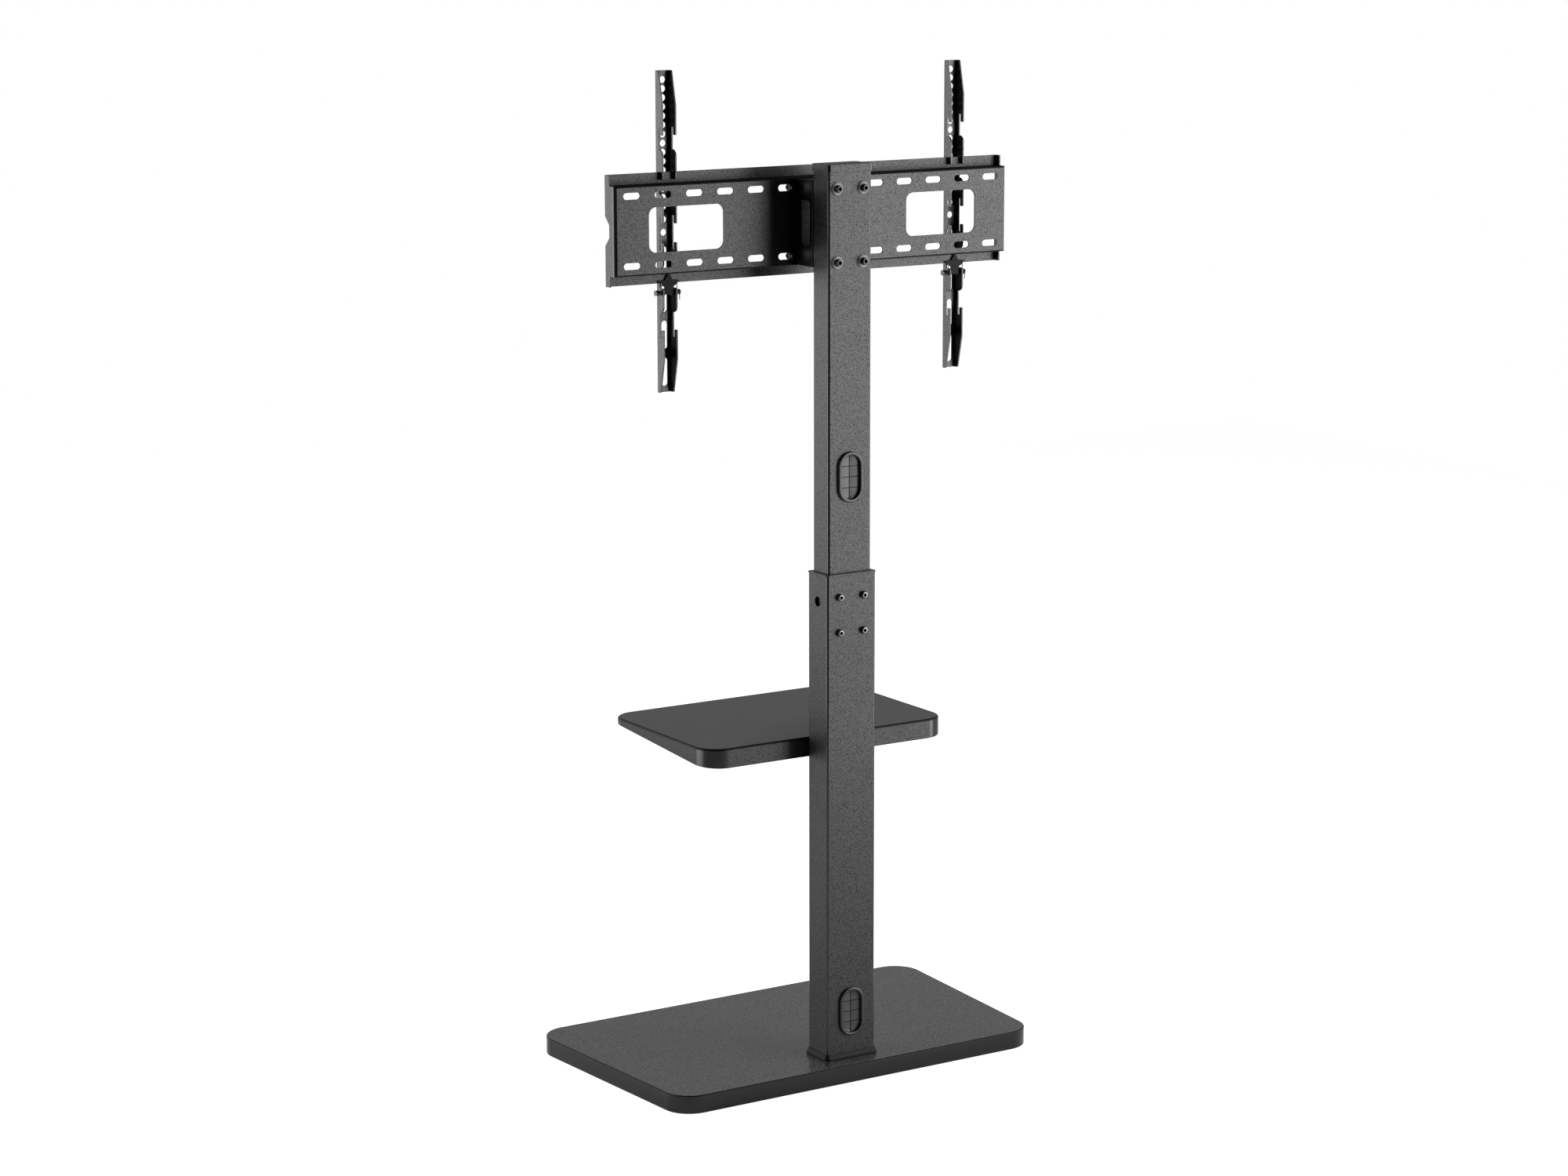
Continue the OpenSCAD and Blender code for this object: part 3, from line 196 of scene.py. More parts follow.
# Each softbox: azimuth, distance, width, height, radiance
SOFTBOXES = {
    "rear_softbox": (136, 1.9, 1.6, 2.0, 6.8),
    "side_softbox": (-22, 1.7, 1.1, 1.9, 4.3),
    "front_softbox": (-60, 3.2, 2.2, 2.2, 1.9),
}

# Each card: azimuth, width, how bright the studio is in that direction
CARDS = {
    "dark_behind_camera": (84, 3.6, 0.01),
    "dim_side": (18, 4.4, 0.12),
    "grey_backdrop": (-122, 4.2, 0.44),
}


# Camera


def photo_camera():
    """The camera solved from the photograph: behind the stand and to its +X side."""
    yaw, pitch, roll = (math.radians(v) for v in (CAMERA_YAW, CAMERA_PITCH, CAMERA_ROLL))
    forward = Vector((-math.sin(yaw) * math.cos(pitch), math.cos(yaw) * math.cos(pitch), -math.sin(pitch)))
    right = forward.cross(Vector((0, 0, 1))).normalized()
    up = right.cross(forward)
    side = right * math.cos(roll) + up * math.sin(roll)
    over = up * math.cos(roll) - right * math.sin(roll)
    cam = bpy.data.cameras.new("photo_camera")
    cam.sensor_width = SENSOR_WIDTH
    cam.lens = LENS_PIXELS / PHOTO_WIDTH * SENSOR_WIDTH
    cam.clip_end = CLIP_END
    obj = bpy.data.objects.new("photo_camera", cam)
    bpy.context.scene.collection.objects.link(obj)
    turn = Matrix((side, over, -forward)).transposed().to_4x4()
    obj.matrix_world = Matrix.Translation(CAMERA_PLACE) @ turn
    bpy.context.scene.camera = obj


# Nodes of the shared effect


def group(name, inputs, outputs):
    tree = bpy.data.node_groups.new(name, "ShaderNodeTree")
    for label, value in inputs:
        socket = tree.interface.new_socket(label, in_out="INPUT", socket_type="NodeSocketFloat")
        socket.default_value = value
    for label in outputs:
        tree.interface.new_socket(label, in_out="OUTPUT", socket_type="NodeSocketFloat")
    return tree, tree.nodes.new("NodeGroupInput"), tree.nodes.new("NodeGroupOutput")


def node(tree, kind, **settings):
    made = tree.nodes.new(kind)
    for key, value in settings.items():
        setattr(made, key, value)
    return made


def maths(tree, operation, first, second, clamp=False):
    """A sum of two values. Each is a number or another node's output."""
    made = node(tree, "ShaderNodeMath", operation=operation, use_clamp=clamp)
    for socket, value in zip(made.inputs, (first, second)):
        if isinstance(value, (int, float)):
            socket.default_value = value
        else:
            tree.links.new(value, socket)
    return made.outputs[0]


def powder_noise(tree, place, detail):
    noise = node(tree, "ShaderNodeTexNoise", noise_dimensions="3D")
    noise.inputs["Detail"].default_value = detail
    tree.links.new(place, noise.inputs["Vector"])
    return noise


# The noise is turned, because it is weak on faces that lie along its own grid
GRAIN_TURN = (0.5, 0.35, 0.6)
GRAIN_DETAIL = 3
GRAIN_ROUGHNESS = 0.6
CLOUD_SCALE = 9
CLOUD_DETAIL = 2
CLOUD_SHADE = 0.1
SPECK_GAIN = 4.0
NOISE_MIDDLE = 0.5


def powder_group():
    """Powder coat: a fine orange peel whose hollows are duller, and broad clouds that are barely seen."""
    tree, into, out = group(
        "powder coat",
        [("Grain per metre", 640.0), ("Speck contrast", 0.12), ("Roughness", 0.42),
         ("Roughness spread", 0.06), ("Dull", 0.2), ("Dull spread", 1.8)],
        ["Height", "Shade", "Roughness", "Dull mask"])
    place = node(tree, "ShaderNodeTexCoord")
    turned = node(tree, "ShaderNodeVectorRotate", rotation_type="EULER_XYZ")
    turned.inputs["Rotation"].default_value = GRAIN_TURN
    tree.links.new(place.outputs["Object"], turned.inputs["Vector"])
    fine = powder_noise(tree, turned.outputs["Vector"], GRAIN_DETAIL)
    fine.inputs["Roughness"].default_value = GRAIN_ROUGHNESS
    tree.links.new(into.outputs["Grain per metre"], fine.inputs["Scale"])
    broad = powder_noise(tree, turned.outputs["Vector"], CLOUD_DETAIL)
    broad.inputs["Scale"].default_value = CLOUD_SCALE
    grain = maths(tree, "SUBTRACT", fine.outputs["Fac"], NOISE_MIDDLE)
    cloud = maths(tree, "SUBTRACT", broad.outputs["Fac"], NOISE_MIDDLE)

    speck = maths(tree, "MULTIPLY", grain, into.outputs["Speck contrast"])
    drift = maths(tree, "MULTIPLY", cloud, CLOUD_SHADE)
    shade = maths(tree, "ADD", maths(tree, "MULTIPLY", speck, SPECK_GAIN), drift)
    spread = maths(tree, "MULTIPLY", maths(tree, "ADD", grain, cloud), into.outputs["Roughness spread"])
    hollow = maths(tree, "MULTIPLY", grain, into.outputs["Dull spread"])
    tree.links.new(maths(tree, "ADD", shade, 1.0), out.inputs["Shade"])
    tree.links.new(maths(tree, "ADD", into.outputs["Roughness"], spread), out.inputs["Roughness"])
    tree.links.new(maths(tree, "SUBTRACT", into.outputs["Dull"], hollow, clamp=True), out.inputs["Dull mask"])
    tree.links.new(fine.outputs["Fac"], out.inputs["Height"])
    return tree


def material(name):
    mat = bpy.data.materials.new(name)
    mat.use_nodes = True
    tree = mat.node_tree
    shader = next(n for n in tree.nodes if n.type == "BSDF_PRINCIPLED")
    return mat, tree, shader


PEEL_DEPTH = 0.2
# The Mix node's sockets for colours
MIX_FACTOR, MIX_FIRST, MIX_SECOND, MIX_RESULT = 0, 6, 7, 2


def coated(name, powder, colour, rough=0.42, grain=640.0, contrast=0.12, bump=0.3, metallic=0.0, level=0.5,
           dull=0.0, dull_spread=0.0):
    """A coated or moulded surface: one colour, broken up by the powder coat effect. Where dull is given, the
    hollows of the coat are dull."""
    mat, tree, shader = material(name)
    effect = node(tree, "ShaderNodeGroup", node_tree=powder)
    effect.inputs["Grain per metre"].default_value = grain
    effect.inputs["Speck contrast"].default_value = contrast
    effect.inputs["Roughness"].default_value = rough
    tint = node(tree, "ShaderNodeMix", data_type="RGBA", blend_type="MULTIPLY")
    tint.inputs[MIX_FACTOR].default_value = 1.0
    tint.inputs[MIX_FIRST].default_value = (*colour, 1)
    tree.links.new(effect.outputs["Shade"], tint.inputs[MIX_SECOND])
    tree.links.new(tint.outputs[MIX_RESULT], shader.inputs["Base Color"])
    tree.links.new(effect.outputs["Roughness"], shader.inputs["Roughness"])
    relief = node(tree, "ShaderNodeBump")
    relief.inputs["Strength"].default_value = bump
    relief.inputs["Distance"].default_value = PEEL_DEPTH * MM
    tree.links.new(effect.outputs["Height"], relief.inputs["Height"])
    tree.links.new(relief.outputs["Normal"], shader.inputs["Normal"])
    if dull:
        effect.inputs["Dull"].default_value = dull
        effect.inputs["Dull spread"].default_value = dull_spread
        tree.links.new(effect.outputs["Dull mask"], shader.inputs["Metallic"])
    else:
        shader.inputs["Metallic"].default_value = metallic
    shader.inputs["Specular IOR Level"].default_value = level
    return mat


# Finishes


def grey(tone):
    return (tone, tone, tone)


POWDERED = dict(contrast=0.1, dull=0.25, dull_spread=3.6)
MOULDED = dict(dull=0.1, dull_spread=0.8)
BENT = dict(contrast=0.06, bump=0.1)

COATS = {
    "column_coat": dict(colour=grey(0.006), **POWDERED),
    "plate_coat": dict(colour=grey(0.006), **POWDERED),
    "arm_coat": dict(colour=grey(0.006), rough=0.3, **POWDERED),
    "shelf_coat": dict(colour=grey(0.008), rough=0.34, contrast=0.16, level=0.36, dull=0.2, dull_spread=4.0),
    "column_bend": dict(colour=grey(0.005), rough=0.16, **BENT),
    "plate_bend": dict(colour=grey(0.005), rough=0.18, **BENT),
    "shelf_bend": dict(colour=grey(0.005), rough=0.22, **BENT),
    # Painted shade: a black, nearly unreflecting finish that draws dark lines on rolled edges and keeps
    # shaded nuts and screws dark
    "black_painted_shade": dict(colour=grey(0.003), rough=0.4, contrast=0.1, level=0.08),
    # Painted shade: the same dark coat with almost no reflection, for level faces and inner flanges that look
    # black
    "dull_painted_shade": dict(colour=grey(0.006), rough=0.6, contrast=0.1, level=0.05),
    # Painted shade: the bracket sits in the column's shadow, so its coat is made near black with almost no
    # reflection
    "bracket_painted_shade": dict(colour=grey(0.003), rough=0.35, contrast=0.1, level=0.08),
    # Painted shade: the cap's top is made darker, with almost no reflection
    "cap_top_painted_shade": dict(colour=grey(0.007), rough=0.36, contrast=0.08, level=0.03),
    "board_laminate": dict(colour=grey(0.038), rough=0.21, grain=520.0, contrast=1.6, level=0.45,
                           dull=0.31, dull_spread=7.5),
    "edge_band": dict(colour=(0.008, 0.008, 0.0085), rough=0.22, contrast=0.04, bump=0.03, level=0.3),
    "black_plastic": dict(colour=grey(0.005), rough=0.3, contrast=0.05, bump=0.05),
    "rim_coat": dict(colour=grey(0.007), rough=0.32, contrast=0.06, level=0.4, **MOULDED),
    "collar_gloss": dict(colour=grey(0.005), rough=0.2, contrast=0.04, bump=0.04, level=0.14),
    # Painted highlight: bright metal for the ring round each height bolt's socket
    "bolt_painted_highlight": dict(colour=grey(0.12), rough=0.28, contrast=0.05, bump=0.04, metallic=1.0),
    # Painted light: the washers' lighter grey stands in for the light on their annulus
    "washer_painted_light": dict(colour=grey(0.09), contrast=0.05, bump=0.04, **MOULDED),
    "grommet_coat": dict(colour=grey(0.006), rough=0.36, contrast=0.06, bump=0.06, **MOULDED),
    "slit_rubber": dict(colour=grey(0.012), rough=0.45, contrast=0.2, **MOULDED),
    "black_bolt": dict(colour=grey(0.004), rough=0.26, contrast=0.05, bump=0.03),
    "zinc_steel": dict(colour=(0.45, 0.45, 0.46), rough=0.3, contrast=0.1, bump=0.05, metallic=1.0),
    "pad_rubber": dict(colour=grey(0.015), rough=0.8, contrast=0.2),
    "glide_plastic": dict(colour=(0.7, 0.7, 0.67), rough=0.4, contrast=0.02),
    "latch_coat": dict(colour=grey(0.003), rough=0.3, contrast=0.05, level=0.05),
    "spring_wire": dict(colour=grey(0.12), rough=0.3, contrast=0.05, metallic=1.0),
}
POWDER = powder_group()
FINISH = {name: coated(name, POWDER, **values) for name, values in COATS.items()}

WORN_BY = {
    "column_coat": ["lower_column", "upper_column", "shelf_bracket"],
    "plate_coat": ["mount_plate"],
    "bracket_painted_shade": ["hat_bracket"],
    "arm_coat": ["left_arm", "right_arm"],
    "shelf_coat": ["shelf_tray", "shelf_stiffener"],
    "board_laminate": ["base_board"],
    "edge_band": ["base_edge_band"],
    "black_plastic": ["foot_collar", "column_rim", "column_cap", "lower_grommet_ring", "upper_grommet_ring"],
    "slit_rubber": ["lower_grommet_flaps", "upper_grommet_flaps"],
    "black_bolt": ["height_bolts", "shelf_screws", "shelf_bracket_bolts", "plate_bolts", "plate_bolt_washers",
                   "left_latch_pin", "right_latch_pin"],
    # These nuts and screws take the black painted shade, with almost no reflection
    "black_painted_shade": ["bracket_screws", "plate_bolt_nuts", "bracket_screw_nuts"],
    "zinc_steel": ["foot_plate", "base_bolts", "base_bolt_washers", "height_bolt_inserts",
                   "shelf_bracket_inserts"],
    "pad_rubber": ["base_pads"],
    "glide_plastic": ["column_glide"],
    "latch_coat": ["left_latch", "right_latch"],
    "spring_wire": ["left_latch_spring", "right_latch_spring"],
}


def dress_solids():
    """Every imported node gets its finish, also those that a piece of this script replaces."""
    for finish, names in WORN_BY.items():
        for name in names:
            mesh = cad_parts[name].data
            mesh.materials.clear()
            mesh.materials.append(FINISH[finish])


# From a mesh to a piece


def piece(name, bm, body, finish, stands_for=(), crease=CREASE):
    """Turns a mesh drawn in millimetres into a piece of the stand that rides on a body."""
    bmesh.ops.scale(bm, vec=(MM, MM, MM), verts=bm.verts)
    return settle(name, bm, body, finish, stands_for, crease)


def settle(name, bm, body, finish, stands_for, crease):
    """Turns a mesh in metres into a piece of the stand that rides on a body."""
    bmesh.ops.recalc_face_normals(bm, faces=bm.faces)
    mesh = bpy.data.meshes.new(name)
    bm.to_mesh(mesh)
    bm.free()
    mesh.shade_smooth()
    mesh.set_sharp_from_angle(angle=math.radians(crease))
    mesh.materials.append(FINISH[finish])
    obj = bpy.data.objects.new(name, mesh)
    bpy.context.scene.collection.objects.link(obj)
    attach(obj, body)
    if stands_for:
        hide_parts(*stands_for)
    return obj


def eased(name, body, finish, ease=None, level_finish=None, bend_finish=None, reshape=None):
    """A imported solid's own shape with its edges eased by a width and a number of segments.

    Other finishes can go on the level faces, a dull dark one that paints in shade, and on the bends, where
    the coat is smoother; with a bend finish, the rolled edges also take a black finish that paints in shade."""
    bm = bmesh.new()
    bm.from_mesh(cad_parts[name].data)
    bmesh.ops.remove_doubles(bm, verts=bm.verts, dist=WELD * MM)
    bmesh.ops.dissolve_limit(bm, angle_limit=math.radians(FLAT_ANGLE), verts=bm.verts, edges=bm.edges)
    if reshape:
        reshape(bm)
    if ease:
        width, segments = ease
        least = math.radians(EDGE_ANGLE)
        edges = [e for e in bm.edges if len(e.link_faces) == 2 and e.calc_face_angle() > least]
        bmesh.ops.bevel(bm, geom=edges, offset=width * MM, segments=segments, profile=0.5, affect="EDGES",
                        clamp_overlap=True)
    obj = settle(name + "_eased", bm, body, finish, (name,), CREASE)
    if level_finish:
        finish_faces(obj, level_finish, level_face)
    if bend_finish:
        finish_faces(obj, bend_finish, upright_bend)
        # The rolled edges take the black painted shade
        finish_faces(obj, "black_painted_shade", rolled_edge)
    even_normals(obj)
    return obj


def level_face(face):
    return abs(face.normal.z) > LEVEL


def upright_bend(face):
    """A face of an upright bend: it looks neither up, nor straight along X or Y."""
    n = face.normal
    return abs(n.z) < UPRIGHT and max(abs(n.x), abs(n.y)) < STRAIGHT


def rolled_edge(face):
    return UPRIGHT <= abs(face.normal.z) <= TOP


def finish_faces(obj, finish, test):
    """Gives another finish to the faces that pass a test."""
    obj.data.materials.append(FINISH[finish])
    for face in obj.data.polygons:
        if test(face):
            face.material_index = len(obj.data.materials) - 1


def even_normals(obj):
    """Large faces stay flat beside small rounded ones."""
    weigh = obj.modifiers.new("weigh", "WEIGHTED_NORMAL")
    weigh.keep_sharp = True
    weigh.weight = NORMAL_WEIGHT


# Loops of points, and skins over them


def loft(bm, loops, closed=False):
    """Skins a row of loops that have the same number of points. Returns the loops' vertices."""
    rings = [[bm.verts.new(p) for p in loop] for loop in loops]
    pairs = list(zip(rings, rings[1:])) + ([(rings[-1], rings[0])] if closed else [])
    for low, high in pairs:
        for i in range(len(low)):
            j = (i + 1) % len(low)
            bm.faces.new((low[i], low[j], high[j], high[i]))
    return rings


def capped_loft(bm, loops):
    rings = loft(bm, loops)
    bm.faces.new(rings[0])
    bm.faces.new(rings[-1])


def outline(corners, radius, inset):
    """Points round a convex outline with round corners, every side drawn in by inset."""
    points = []
    for i, corner in enumerate(corners):
        here, last, following = (Vector(c) for c in (corner, corners[i - 1], corners[(i + 1) % len(corners)]))
        a, b = (here - last).normalized(), (following - here).normalized()
        start, end = math.atan2(-a.x, a.y), math.atan2(-b.x, b.y)
        end += math.tau if end < start else 0
        half = (math.pi - (end - start)) / 2
        centre = here + (b - a).normalized() * radius / math.sin(half)
        for k in range(CORNER_STEPS + 1):
            t = start + (end - start) * k / CORNER_STEPS
            points.append(centre + Vector((math.cos(t), math.sin(t))) * (radius - inset))
    return points


def stadium_loop(y, z, w, h):
    """An upright slot outline in the plane y, in the middle of the column, round at its ends."""
    r, rise = w / 2, (h - w) / 2
    points = []
    for k in range(2 * END_STEPS + 2):
        upper = k <= END_STEPS
        t = math.pi * (k if upper else k - 1) / END_STEPS
        points.append((r * math.cos(t), y, z + r * math.sin(t) + (rise if upper else -rise)))
    return points


def circle_loop(x, y, z, r):
    turns = [math.tau * k / ROUND_POINTS for k in range(ROUND_POINTS)]
    return [(x + r * math.cos(t), y, z + r * math.sin(t)) for t in turns]


def hexagon_loop(x, y, z, flats):
    """The same number of points as a round loop, laid round a hexagon."""
    sixth = math.tau / 6
    points = []
    for k in range(ROUND_POINTS):
        t = math.tau * k / ROUND_POINTS
        r = flats / 2 / math.cos((t % sixth) - sixth / 2)
        points.append((x + r * math.cos(t + SOCKET_TURN), y, z + r * math.sin(t + SOCKET_TURN)))
    return points


# Base and shelf


def edge_band():
    """The band round the board: its top edge is rolled over, and stands a hair below the laminate."""
    (_, front, low), (_, rear, high) = node_box("base_edge_band")
    corners = [(-BAND_FRONT_HALF_W, front), (BAND_FRONT_HALF_W, front), (BAND_REAR_HALF_W, rear),
               (-BAND_REAR_HALF_W, rear)]
    roll_start = high - BAND_ROLL_HIGH
    profile = [(BAND_THICK, low), (BAND_FOOT_EASE, low), (BAND_HAIR, low + BAND_HAIR),
               (0, low + BAND_FOOT_EASE), (0, roll_start)]
    for t in BAND_ROLL_TURNS:
        profile.append((BAND_ROLL * (1 - math.cos(t)), roll_start + BAND_ROLL * math.sin(t)))
    profile.append((BAND_THICK, high - BAND_HAIR))
    loops = [[(q.x, q.y, z) for q in outline(corners, BAND_CORNER, inset)] for inset, z in profile]
    bm = bmesh.new()
    loft(bm, loops, closed=True)
    obj = piece("edge_band", bm, "stand", "edge_band", ("base_edge_band",))
    # The rolled top edge takes the black painted shade
    finish_faces(obj, "black_painted_shade", rolled_edge)


def shelf_pan():
    """The shelf: sheet bent down all round, deeper at the rear, rolled on top, notched for the bracket."""
    (left, front, low), (right, rear, top) = node_box("shelf_tray")
    depth, rise = rear - front, top - low - SHELF_FRONT_DEPTH
    corners = [(left, front), (right, front), (right, rear), (left, rear)]
    notch_top = top - SHELF_ROLL - NOTCH_GAP

    def ring(inset, height=None):
        """One loop of points at a height, or along the sloping lower edge where there is none."""
        points = [(q.x, q.y, False) for q in outline(corners, SHELF_CORNER, inset)]
        y = rear - inset
        rear_run = 3 * (CORNER_STEPS + 1)
        points[rear_run:rear_run] = [(SHELF_NOTCH_HALF_W, y, False), (SHELF_NOTCH_HALF_W, y, True),
                                     (-SHELF_NOTCH_HALF_W, y, True), (-SHELF_NOTCH_HALF_W, y, False)]
        if height is not None:
            return [(x, y, height) for x, y, raised in points]
        return [(x, y, notch_top if raised else low + rise * (rear - y) / depth) for x, y, raised in points]

    loops = [ring(SHELF_SHEET, top - SHELF_SHEET), ring(SHELF_SHEET), ring(0)]
    for t in SHELF_ROLL_TURNS:
        loops.append(ring(SHELF_ROLL * (1 - math.cos(t)), top - SHELF_ROLL + SHELF_ROLL * math.sin(t)))
    bm = bmesh.new()
    capped_loft(bm, loops)
    obj = piece("shelf_pan", bm, "stand", "shelf_coat", ("shelf_tray",), PAN_CREASE)
    finish_faces(obj, "shelf_bend", upright_bend)
    # The rolled top edge takes the black painted shade
    finish_faces(obj, "black_painted_shade", rolled_edge)
    even_normals(obj)


# Column


def tube_bends():
    """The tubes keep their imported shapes. Their bent corners shine a little more than their sides."""
    for name, body in (("lower_column", "stand"), ("upper_column", "mast")):
        eased(name, body, "column_coat", bend_finish="column_bend")


def trims():
    # The cap's top takes a darker finish that paints in shade, and its rolled edges the black painted shade
    eased("column_cap", "mast", "column_coat", CAP_EASE, "cap_top_painted_shade", "column_bend")
    eased("column_rim", "stand", "rim_coat", RIM_EASE)
    eased("foot_collar", "stand", "collar_gloss", COLLAR_EASE)


def bolt_places(name, apart):
    """Where four packed bolts sit, from the box of their heads: x and z of each."""
    x = node_box(name)[1][0] - HEAD_DIA / 2
    z = node_middle(name)[2]
    return [(side, row) for side in (-x, x) for row in (z + apart / 2, z - apart / 2)]


def bolt_head(bm, x, seat, z, high, shank):
    """A socket-head bolt along +Y: shank, rolled rim and hexagon socket."""
    r, thread = HEAD_DIA / 2, SHANK_DIA / 2
    steps = [(thread - THREAD_EASE, -shank), (thread, -shank + THREAD_EASE), (thread, 0)]
    steps += [(r - HEAD_FOOT_EASE, 0), (r, HEAD_FOOT_EASE)]
    steps += [(r - inset, high - down) for inset, down in HEAD_ROLL]
    loops = [circle_loop(x, seat + y, z, q) for q, y in steps]
    loops += [hexagon_loop(x, seat + high - down, z, flats) for flats, down in SOCKET]
    capped_loft(bm, loops)


def lower_bolts():
    """The four bolts that clamp the height: black heads, with a bright metal ring round the hexagon as a
    painted highlight.
    """
    bm, highlight_ring = bmesh.new(), bmesh.new()
    top = LOWER_FACE + LOWER_HEAD_HIGH
    for x, z in bolt_places("height_bolts", LOWER_BOLTS_APART):
        bolt_head(bm, x, LOWER_FACE, z, LOWER_HEAD_HIGH, LOWER_SHANK)
        # A bright metal ring on each head paints in its highlight
        ring = [circle_loop(x, top + up, z, r) for r, up in RING_RIM]
        ring += [hexagon_loop(x, top + up, z, flats) for flats, up in RING_SOCKET]
        loft(highlight_ring, ring, closed=True)
    piece("height_socket_bolts", bm, "stand", "black_bolt", ("height_bolts",), BOLT_CREASE)
    piece("height_bolt_highlight_rings", highlight_ring, "stand", "bolt_painted_highlight", crease=RING_CREASE)


def upper_bolts():
    """The four bolts of the mount, each on a wide flat washer with an eased rim."""
    heads, discs = bmesh.new(), bmesh.new()
    profile = [(WASHER_BORE, 0), (WASHER_RIM, 0)]
    profile += [(WASHER_RIM - inset, WASHER_THICK - down) for inset, down in WASHER_ROLL]
    profile.append((WASHER_BORE, WASHER_THICK))
    for x, z in bolt_places("plate_bolts", UPPER_BOLTS_APART):
        bolt_head(heads, x, UPPER_FACE + WASHER_THICK, z, UPPER_HEAD_HIGH, UPPER_SHANK)
        loft(discs, [circle_loop(x, UPPER_FACE + y, z, q) for q, y in profile], closed=True)
    piece("mount_socket_bolts", heads, "mast", "black_bolt", ("plate_bolts",), BOLT_CREASE)
    # The washers take the lighter grey of painted light
    piece("mount_washers", discs, "mast", "washer_painted_light", ("plate_bolt_washers",), BOLT_CREASE)


def grommet(name, face, body):
    """A cable grommet in a tube's rear wall: a rolled flange with a neck, and eight curled rubber flaps."""
    ring = name + "_grommet_ring"
    z = node_middle(ring)[2]
    loops = []
    for inset, out in FLANGE_PROFILE:
        loops.append(stadium_loop(face + out, z, FLANGE_W - 2 * inset, FLANGE_H - 2 * inset))
    bm = bmesh.new()
    loft(bm, loops, closed=True)
    piece(name + "_flange", bm, body, "grommet_coat", (ring,), FLANGE_CREASE)

    bm = bmesh.new()
    rows = [(-FLAPS_HALF_H, -FLAP_ROW), (-FLAP_ROW, 0), (0, FLAP_ROW), (FLAP_ROW, FLAPS_HALF_H)]
    for side in (-1, 1):
        for low, high in rows:
            flap(bm, side, low, high, face - FLAP_SUNK, z)
    piece(name + "_flaps", bm, body, "slit_rubber", (name + "_grommet_flaps",), FLAP_CREASE)


def flap(bm, side, low, high, face, z):
    """One rubber flap between two heights, from the rim to the middle slit, where its tip curls in."""
    n = FLAP_CELLS
    foot = low + (FLAP_GAP if low > -FLAPS_HALF_H else 0)
    head = high - (FLAP_GAP if high < FLAPS_HALF_H else 0)

    def corner(i, j, layer):
        up = foot + (head - foot) * j / n
        over = max(abs(up) - (FLAPS_HALF_H - FLAPS_HALF_W), 0)
        rim = max(math.sqrt(max(FLAPS_HALF_W ** 2 - over ** 2, 0)), FLAP_GAP + FLAP_LEAST)
        across = FLAP_GAP + (rim - FLAP_GAP) * i / n
        tip = (1 - i / n) ** 2
        curl = tip * (FLAP_CURL * (1 + FLAP_WAVE * side) + FLAP_WAVE * math.sin(FLAP_WAVE_TURN * j / n))
        return bm.verts.new((side * across, face - curl - FLAP_THICK * layer, z + up))

    outer, inner = ([[corner(i, j, layer) for j in range(n + 1)] for i in range(n + 1)] for layer in (0, 1))
    for i in range(n):
        for j in range(n):
            bm.faces.new((outer[i][j], outer[i + 1][j], outer[i + 1][j + 1], outer[i][j + 1]))
            bm.faces.new((inner[i][j], inner[i][j + 1], inner[i + 1][j + 1], inner[i + 1][j]))
    for i in range(n):
        for j in (0, n):
            bm.faces.new((outer[i][j], outer[i + 1][j], inner[i + 1][j], inner[i][j]))
            bm.faces.new((outer[j][i], outer[j][i + 1], inner[j][i + 1], inner[j][i]))


# Mount


def raise_upper_fold(bm):
    """The web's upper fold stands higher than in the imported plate, on a larger radius."""
    _, (_, back, top) = node_box("mount_plate")
    web_top = (top - WEB_TOP_BELOW_LIP) * MM
    back *= MM
    lip, near, slack = back - LIP_BEFORE_BACK * MM, FOLD_NEAR * MM, 10 * NEARLY * MM
    small, large, lift = FOLD_RADIUS * MM, RAISED_FOLD_RADIUS * MM, RAISED_FOLD_LIFT * MM
    for v in bm.verts:
        y, z = v.co.y - (back - small), v.co.z - (web_top - small)
        if z < -slack or v.co.z > web_top + near or v.co.y < lip:
            continue
        if y > slack:
            if abs(math.hypot(y, z) - small) < near:
                v.co.y = back - large + large * y / small
                v.co.z = web_top + lift - large + large * z / small
        elif z > small - near / 2:
            v.co.z += lift


def round_plate_ends(bm):
    """The plate's ends are folded over a wide tool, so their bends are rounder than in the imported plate."""
    half_w, back = (v * MM for v in node_box("mount_plate")[1][:2])
    radius, nearly = PLATE_END_RADIUS * MM, NEARLY * MM
    centre_x, centre_y = half_w - radius, back - radius
    for step in range(PLATE_END_STEPS):
        for sign in (-1, 1):
            ends = [f for f in bm.faces if max(v.co.x * sign for v in f.verts) > centre_x]
            split(bm, ends, (sign * (centre_x + radius * step / PLATE_END_STEPS), 0, 0), (1, 0, 0))
            ends = [f for f in bm.faces if min(v.co.x * sign for v in f.verts) > centre_x - nearly]
            split(bm, ends, (0, centre_y + radius * step / PLATE_END_STEPS, 0), (0, 1, 0))
    for v in bm.verts:
        across, deep = abs(v.co.x) - centre_x, v.co.y - centre_y
        if across > nearly and deep > nearly:
            grow = max(across, deep) / math.hypot(across, deep)
            v.co.x = math.copysign(centre_x + across * grow, v.co.x)
            v.co.y = centre_y + deep * grow


def split(bm, faces, point, normal):
    """Cuts some faces where a plane crosses them."""
    parts = set(faces)
    for f in faces:
        parts.update(f.edges)
        parts.update(f.verts)
    bmesh.ops.bisect_plane(bm, geom=list(parts), dist=PLANE_WELD * MM, plane_co=point, plane_no=normal)


def shape_plate(bm):
    raise_upper_fold(bm)
    round_plate_ends(bm)


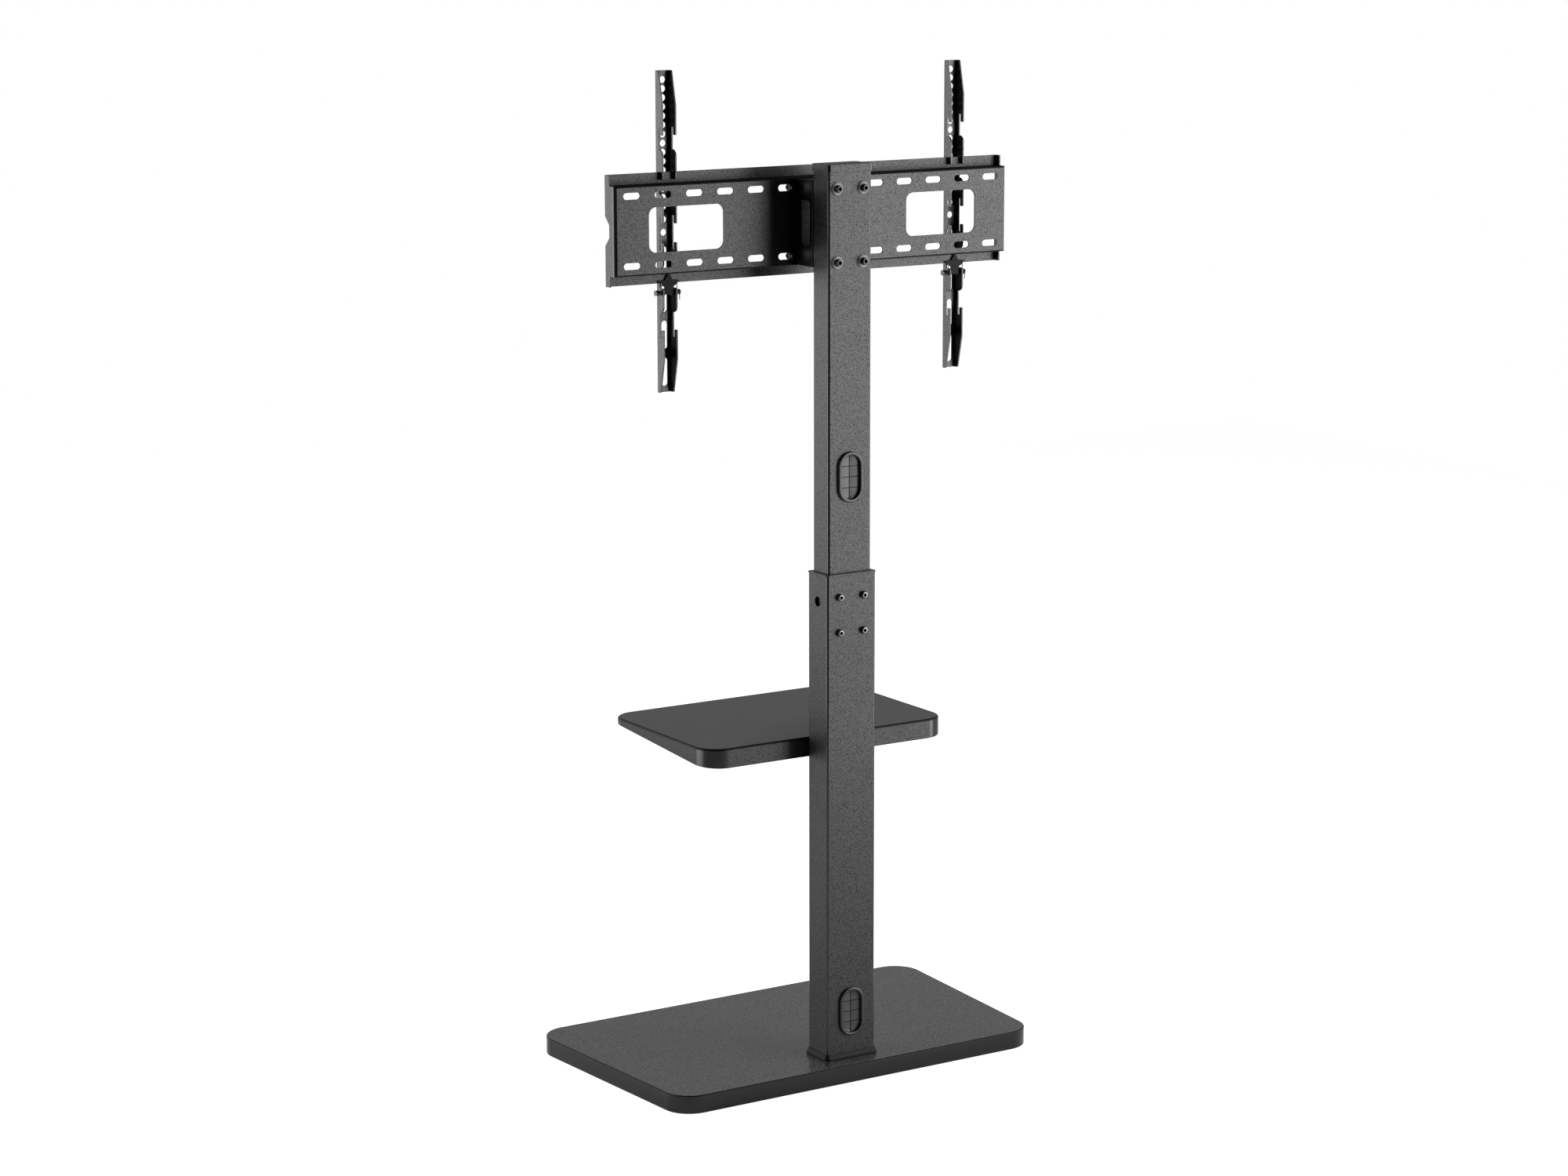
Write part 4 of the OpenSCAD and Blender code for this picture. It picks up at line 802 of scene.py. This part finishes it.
def sheet_edges():
    """The bent sheets of the mount, with their sharp sheared edges broken."""
    # The plate's level faces take the dull painted shade
    eased("mount_plate", "mast", "plate_coat", SHEET_EASE, "dull_painted_shade", "plate_bend",
          shape_plate)
    # The hat bracket takes the painted shade finish
    eased("hat_bracket", "mast", "bracket_painted_shade", SHEET_EASE)
    for side in ("left", "right"):
        # The arms' level faces and inner flange faces take the dull painted shade
        arm = eased(side + "_arm", side + "_arm_body", "arm_coat", SHEET_EASE, "dull_painted_shade")
        middle = sum(v.co.x for v in arm.data.vertices) / len(arm.data.vertices)
        finish_faces(arm, "dull_painted_shade",
                     lambda face: face.normal.x * math.copysign(1, middle - face.center.x) > LEVEL)
        eased(side + "_latch", side + "_latch_body", "latch_coat", LATCH_EASE)


# Studio


def floor_material():
    """White paper: it takes the stand's shadow, and the camera sees it as white where the light is even."""
    mat, tree, shader = material("white_floor")
    shader.inputs["Base Color"].default_value = PAPER
    shader.inputs["Roughness"].default_value = 1.0
    shader.inputs["Specular IOR Level"].default_value = 0.0
    path = node(tree, "ShaderNodeLightPath")
    shader.inputs["Emission Color"].default_value = WHITE
    glow = maths(tree, "MULTIPLY", path.outputs["Is Camera Ray"], FLOOR_GLOW)
    tree.links.new(glow, shader.inputs["Emission Strength"])
    return mat


def sheet_of_studio(name, corners, mat):
    """One four-sided face that isn't part of the stand."""
    mesh = bpy.data.meshes.new(name)
    mesh.from_pydata(corners, [], [(0, 1, 2, 3)])
    mesh.materials.append(mat)
    obj = bpy.data.objects.new(name, mesh)
    bpy.context.scene.collection.objects.link(obj)
    return obj


def level_square(half, z):
    return [(-half, -half, z), (half, -half, z), (half, half, z), (-half, half, z)]


def reflection_card(name, corners, tone):
    """A card that only reflections see."""
    mat, tree, shader = material(name)
    shader.inputs["Base Color"].default_value = BLACK
    shader.inputs["Roughness"].default_value = 1.0
    shader.inputs["Specular IOR Level"].default_value = 0.0
    shader.inputs["Emission Color"].default_value = WHITE
    shader.inputs["Emission Strength"].default_value = tone
    obj = sheet_of_studio(name, corners, mat)
    obj.visible_camera = False
    obj.visible_diffuse = False
    obj.visible_shadow = False
    obj.visible_transmission = False


def upright_card(name, azimuth, width, tone):
    """A card that stands round the column: how bright the studio is in that direction."""
    turn = math.radians(azimuth)
    out = Vector((math.cos(turn), math.sin(turn), 0))
    along = Vector((-out.y, out.x, 0)) * width / 2
    foot = out * CARD_DISTANCE + Vector((0, COLUMN_Y, 0))
    rise = Vector((0, 0, CEILING_HEIGHT))
    reflection_card(name, [foot - along, foot + along, foot + along + rise, foot - along + rise], tone)


def softbox(name, azimuth, distance, width, height, radiance):
    """A lamp behind a white cloth, aimed at the column."""
    turn = math.radians(azimuth)
    place = Vector((math.cos(turn) * distance, math.sin(turn) * distance + COLUMN_Y, LAMP_HEIGHT))
    lamp = bpy.data.lights.new(name, "AREA")
    lamp.shape = "RECTANGLE"
    lamp.size, lamp.size_y = width, height
    lamp.energy = radiance * math.pi * width * height
    obj = bpy.data.objects.new(name, lamp)
    bpy.context.scene.collection.objects.link(obj)
    obj.location = place
    obj.rotation_euler = (Vector((0, COLUMN_Y, AIM_HEIGHT)) - place).to_track_quat("-Z", "Y").to_euler()
    obj.visible_camera = False


def white_world():
    """The camera, metal and glass see a white studio. As a light it is dim."""
    world = bpy.data.worlds.new("studio")
    bpy.context.scene.world = world
    world.use_nodes = True
    tree = world.node_tree
    tree.nodes.clear()
    out = node(tree, "ShaderNodeOutputWorld")
    back = node(tree, "ShaderNodeBackground")
    back.inputs["Color"].default_value = WHITE
    path = node(tree, "ShaderNodeLightPath")
    mirrored = maths(tree, "ADD", path.outputs["Is Glossy Ray"], path.outputs["Is Transmission Ray"])
    seen = maths(tree, "ADD", path.outputs["Is Camera Ray"], mirrored, clamp=True)
    strength = maths(tree, "ADD", maths(tree, "MULTIPLY", seen, 1 - WORLD_FILL), WORLD_FILL)
    tree.links.new(strength, back.inputs["Strength"])
    tree.links.new(back.outputs[0], out.inputs[0])


def studio():
    bpy.context.scene.view_settings.view_transform = "Standard"
    white_world()
    sheet_of_studio("floor", level_square(FLOOR_HALF, 0), floor_material())
    for name, values in SOFTBOXES.items():
        softbox(name, *values)
    for name, values in CARDS.items():
        upright_card(name, *values)
    reflection_card("dark_ceiling", level_square(CEILING_HALF, CEILING_HEIGHT), CEILING_TONE)


# Build


photo_camera()
dress_solids()
edge_band()
shelf_pan()
tube_bends()
trims()
lower_bolts()
upper_bolts()
grommet("lower", LOWER_FACE, "stand")
grommet("upper", UPPER_FACE, "mast")
sheet_edges()
studio()
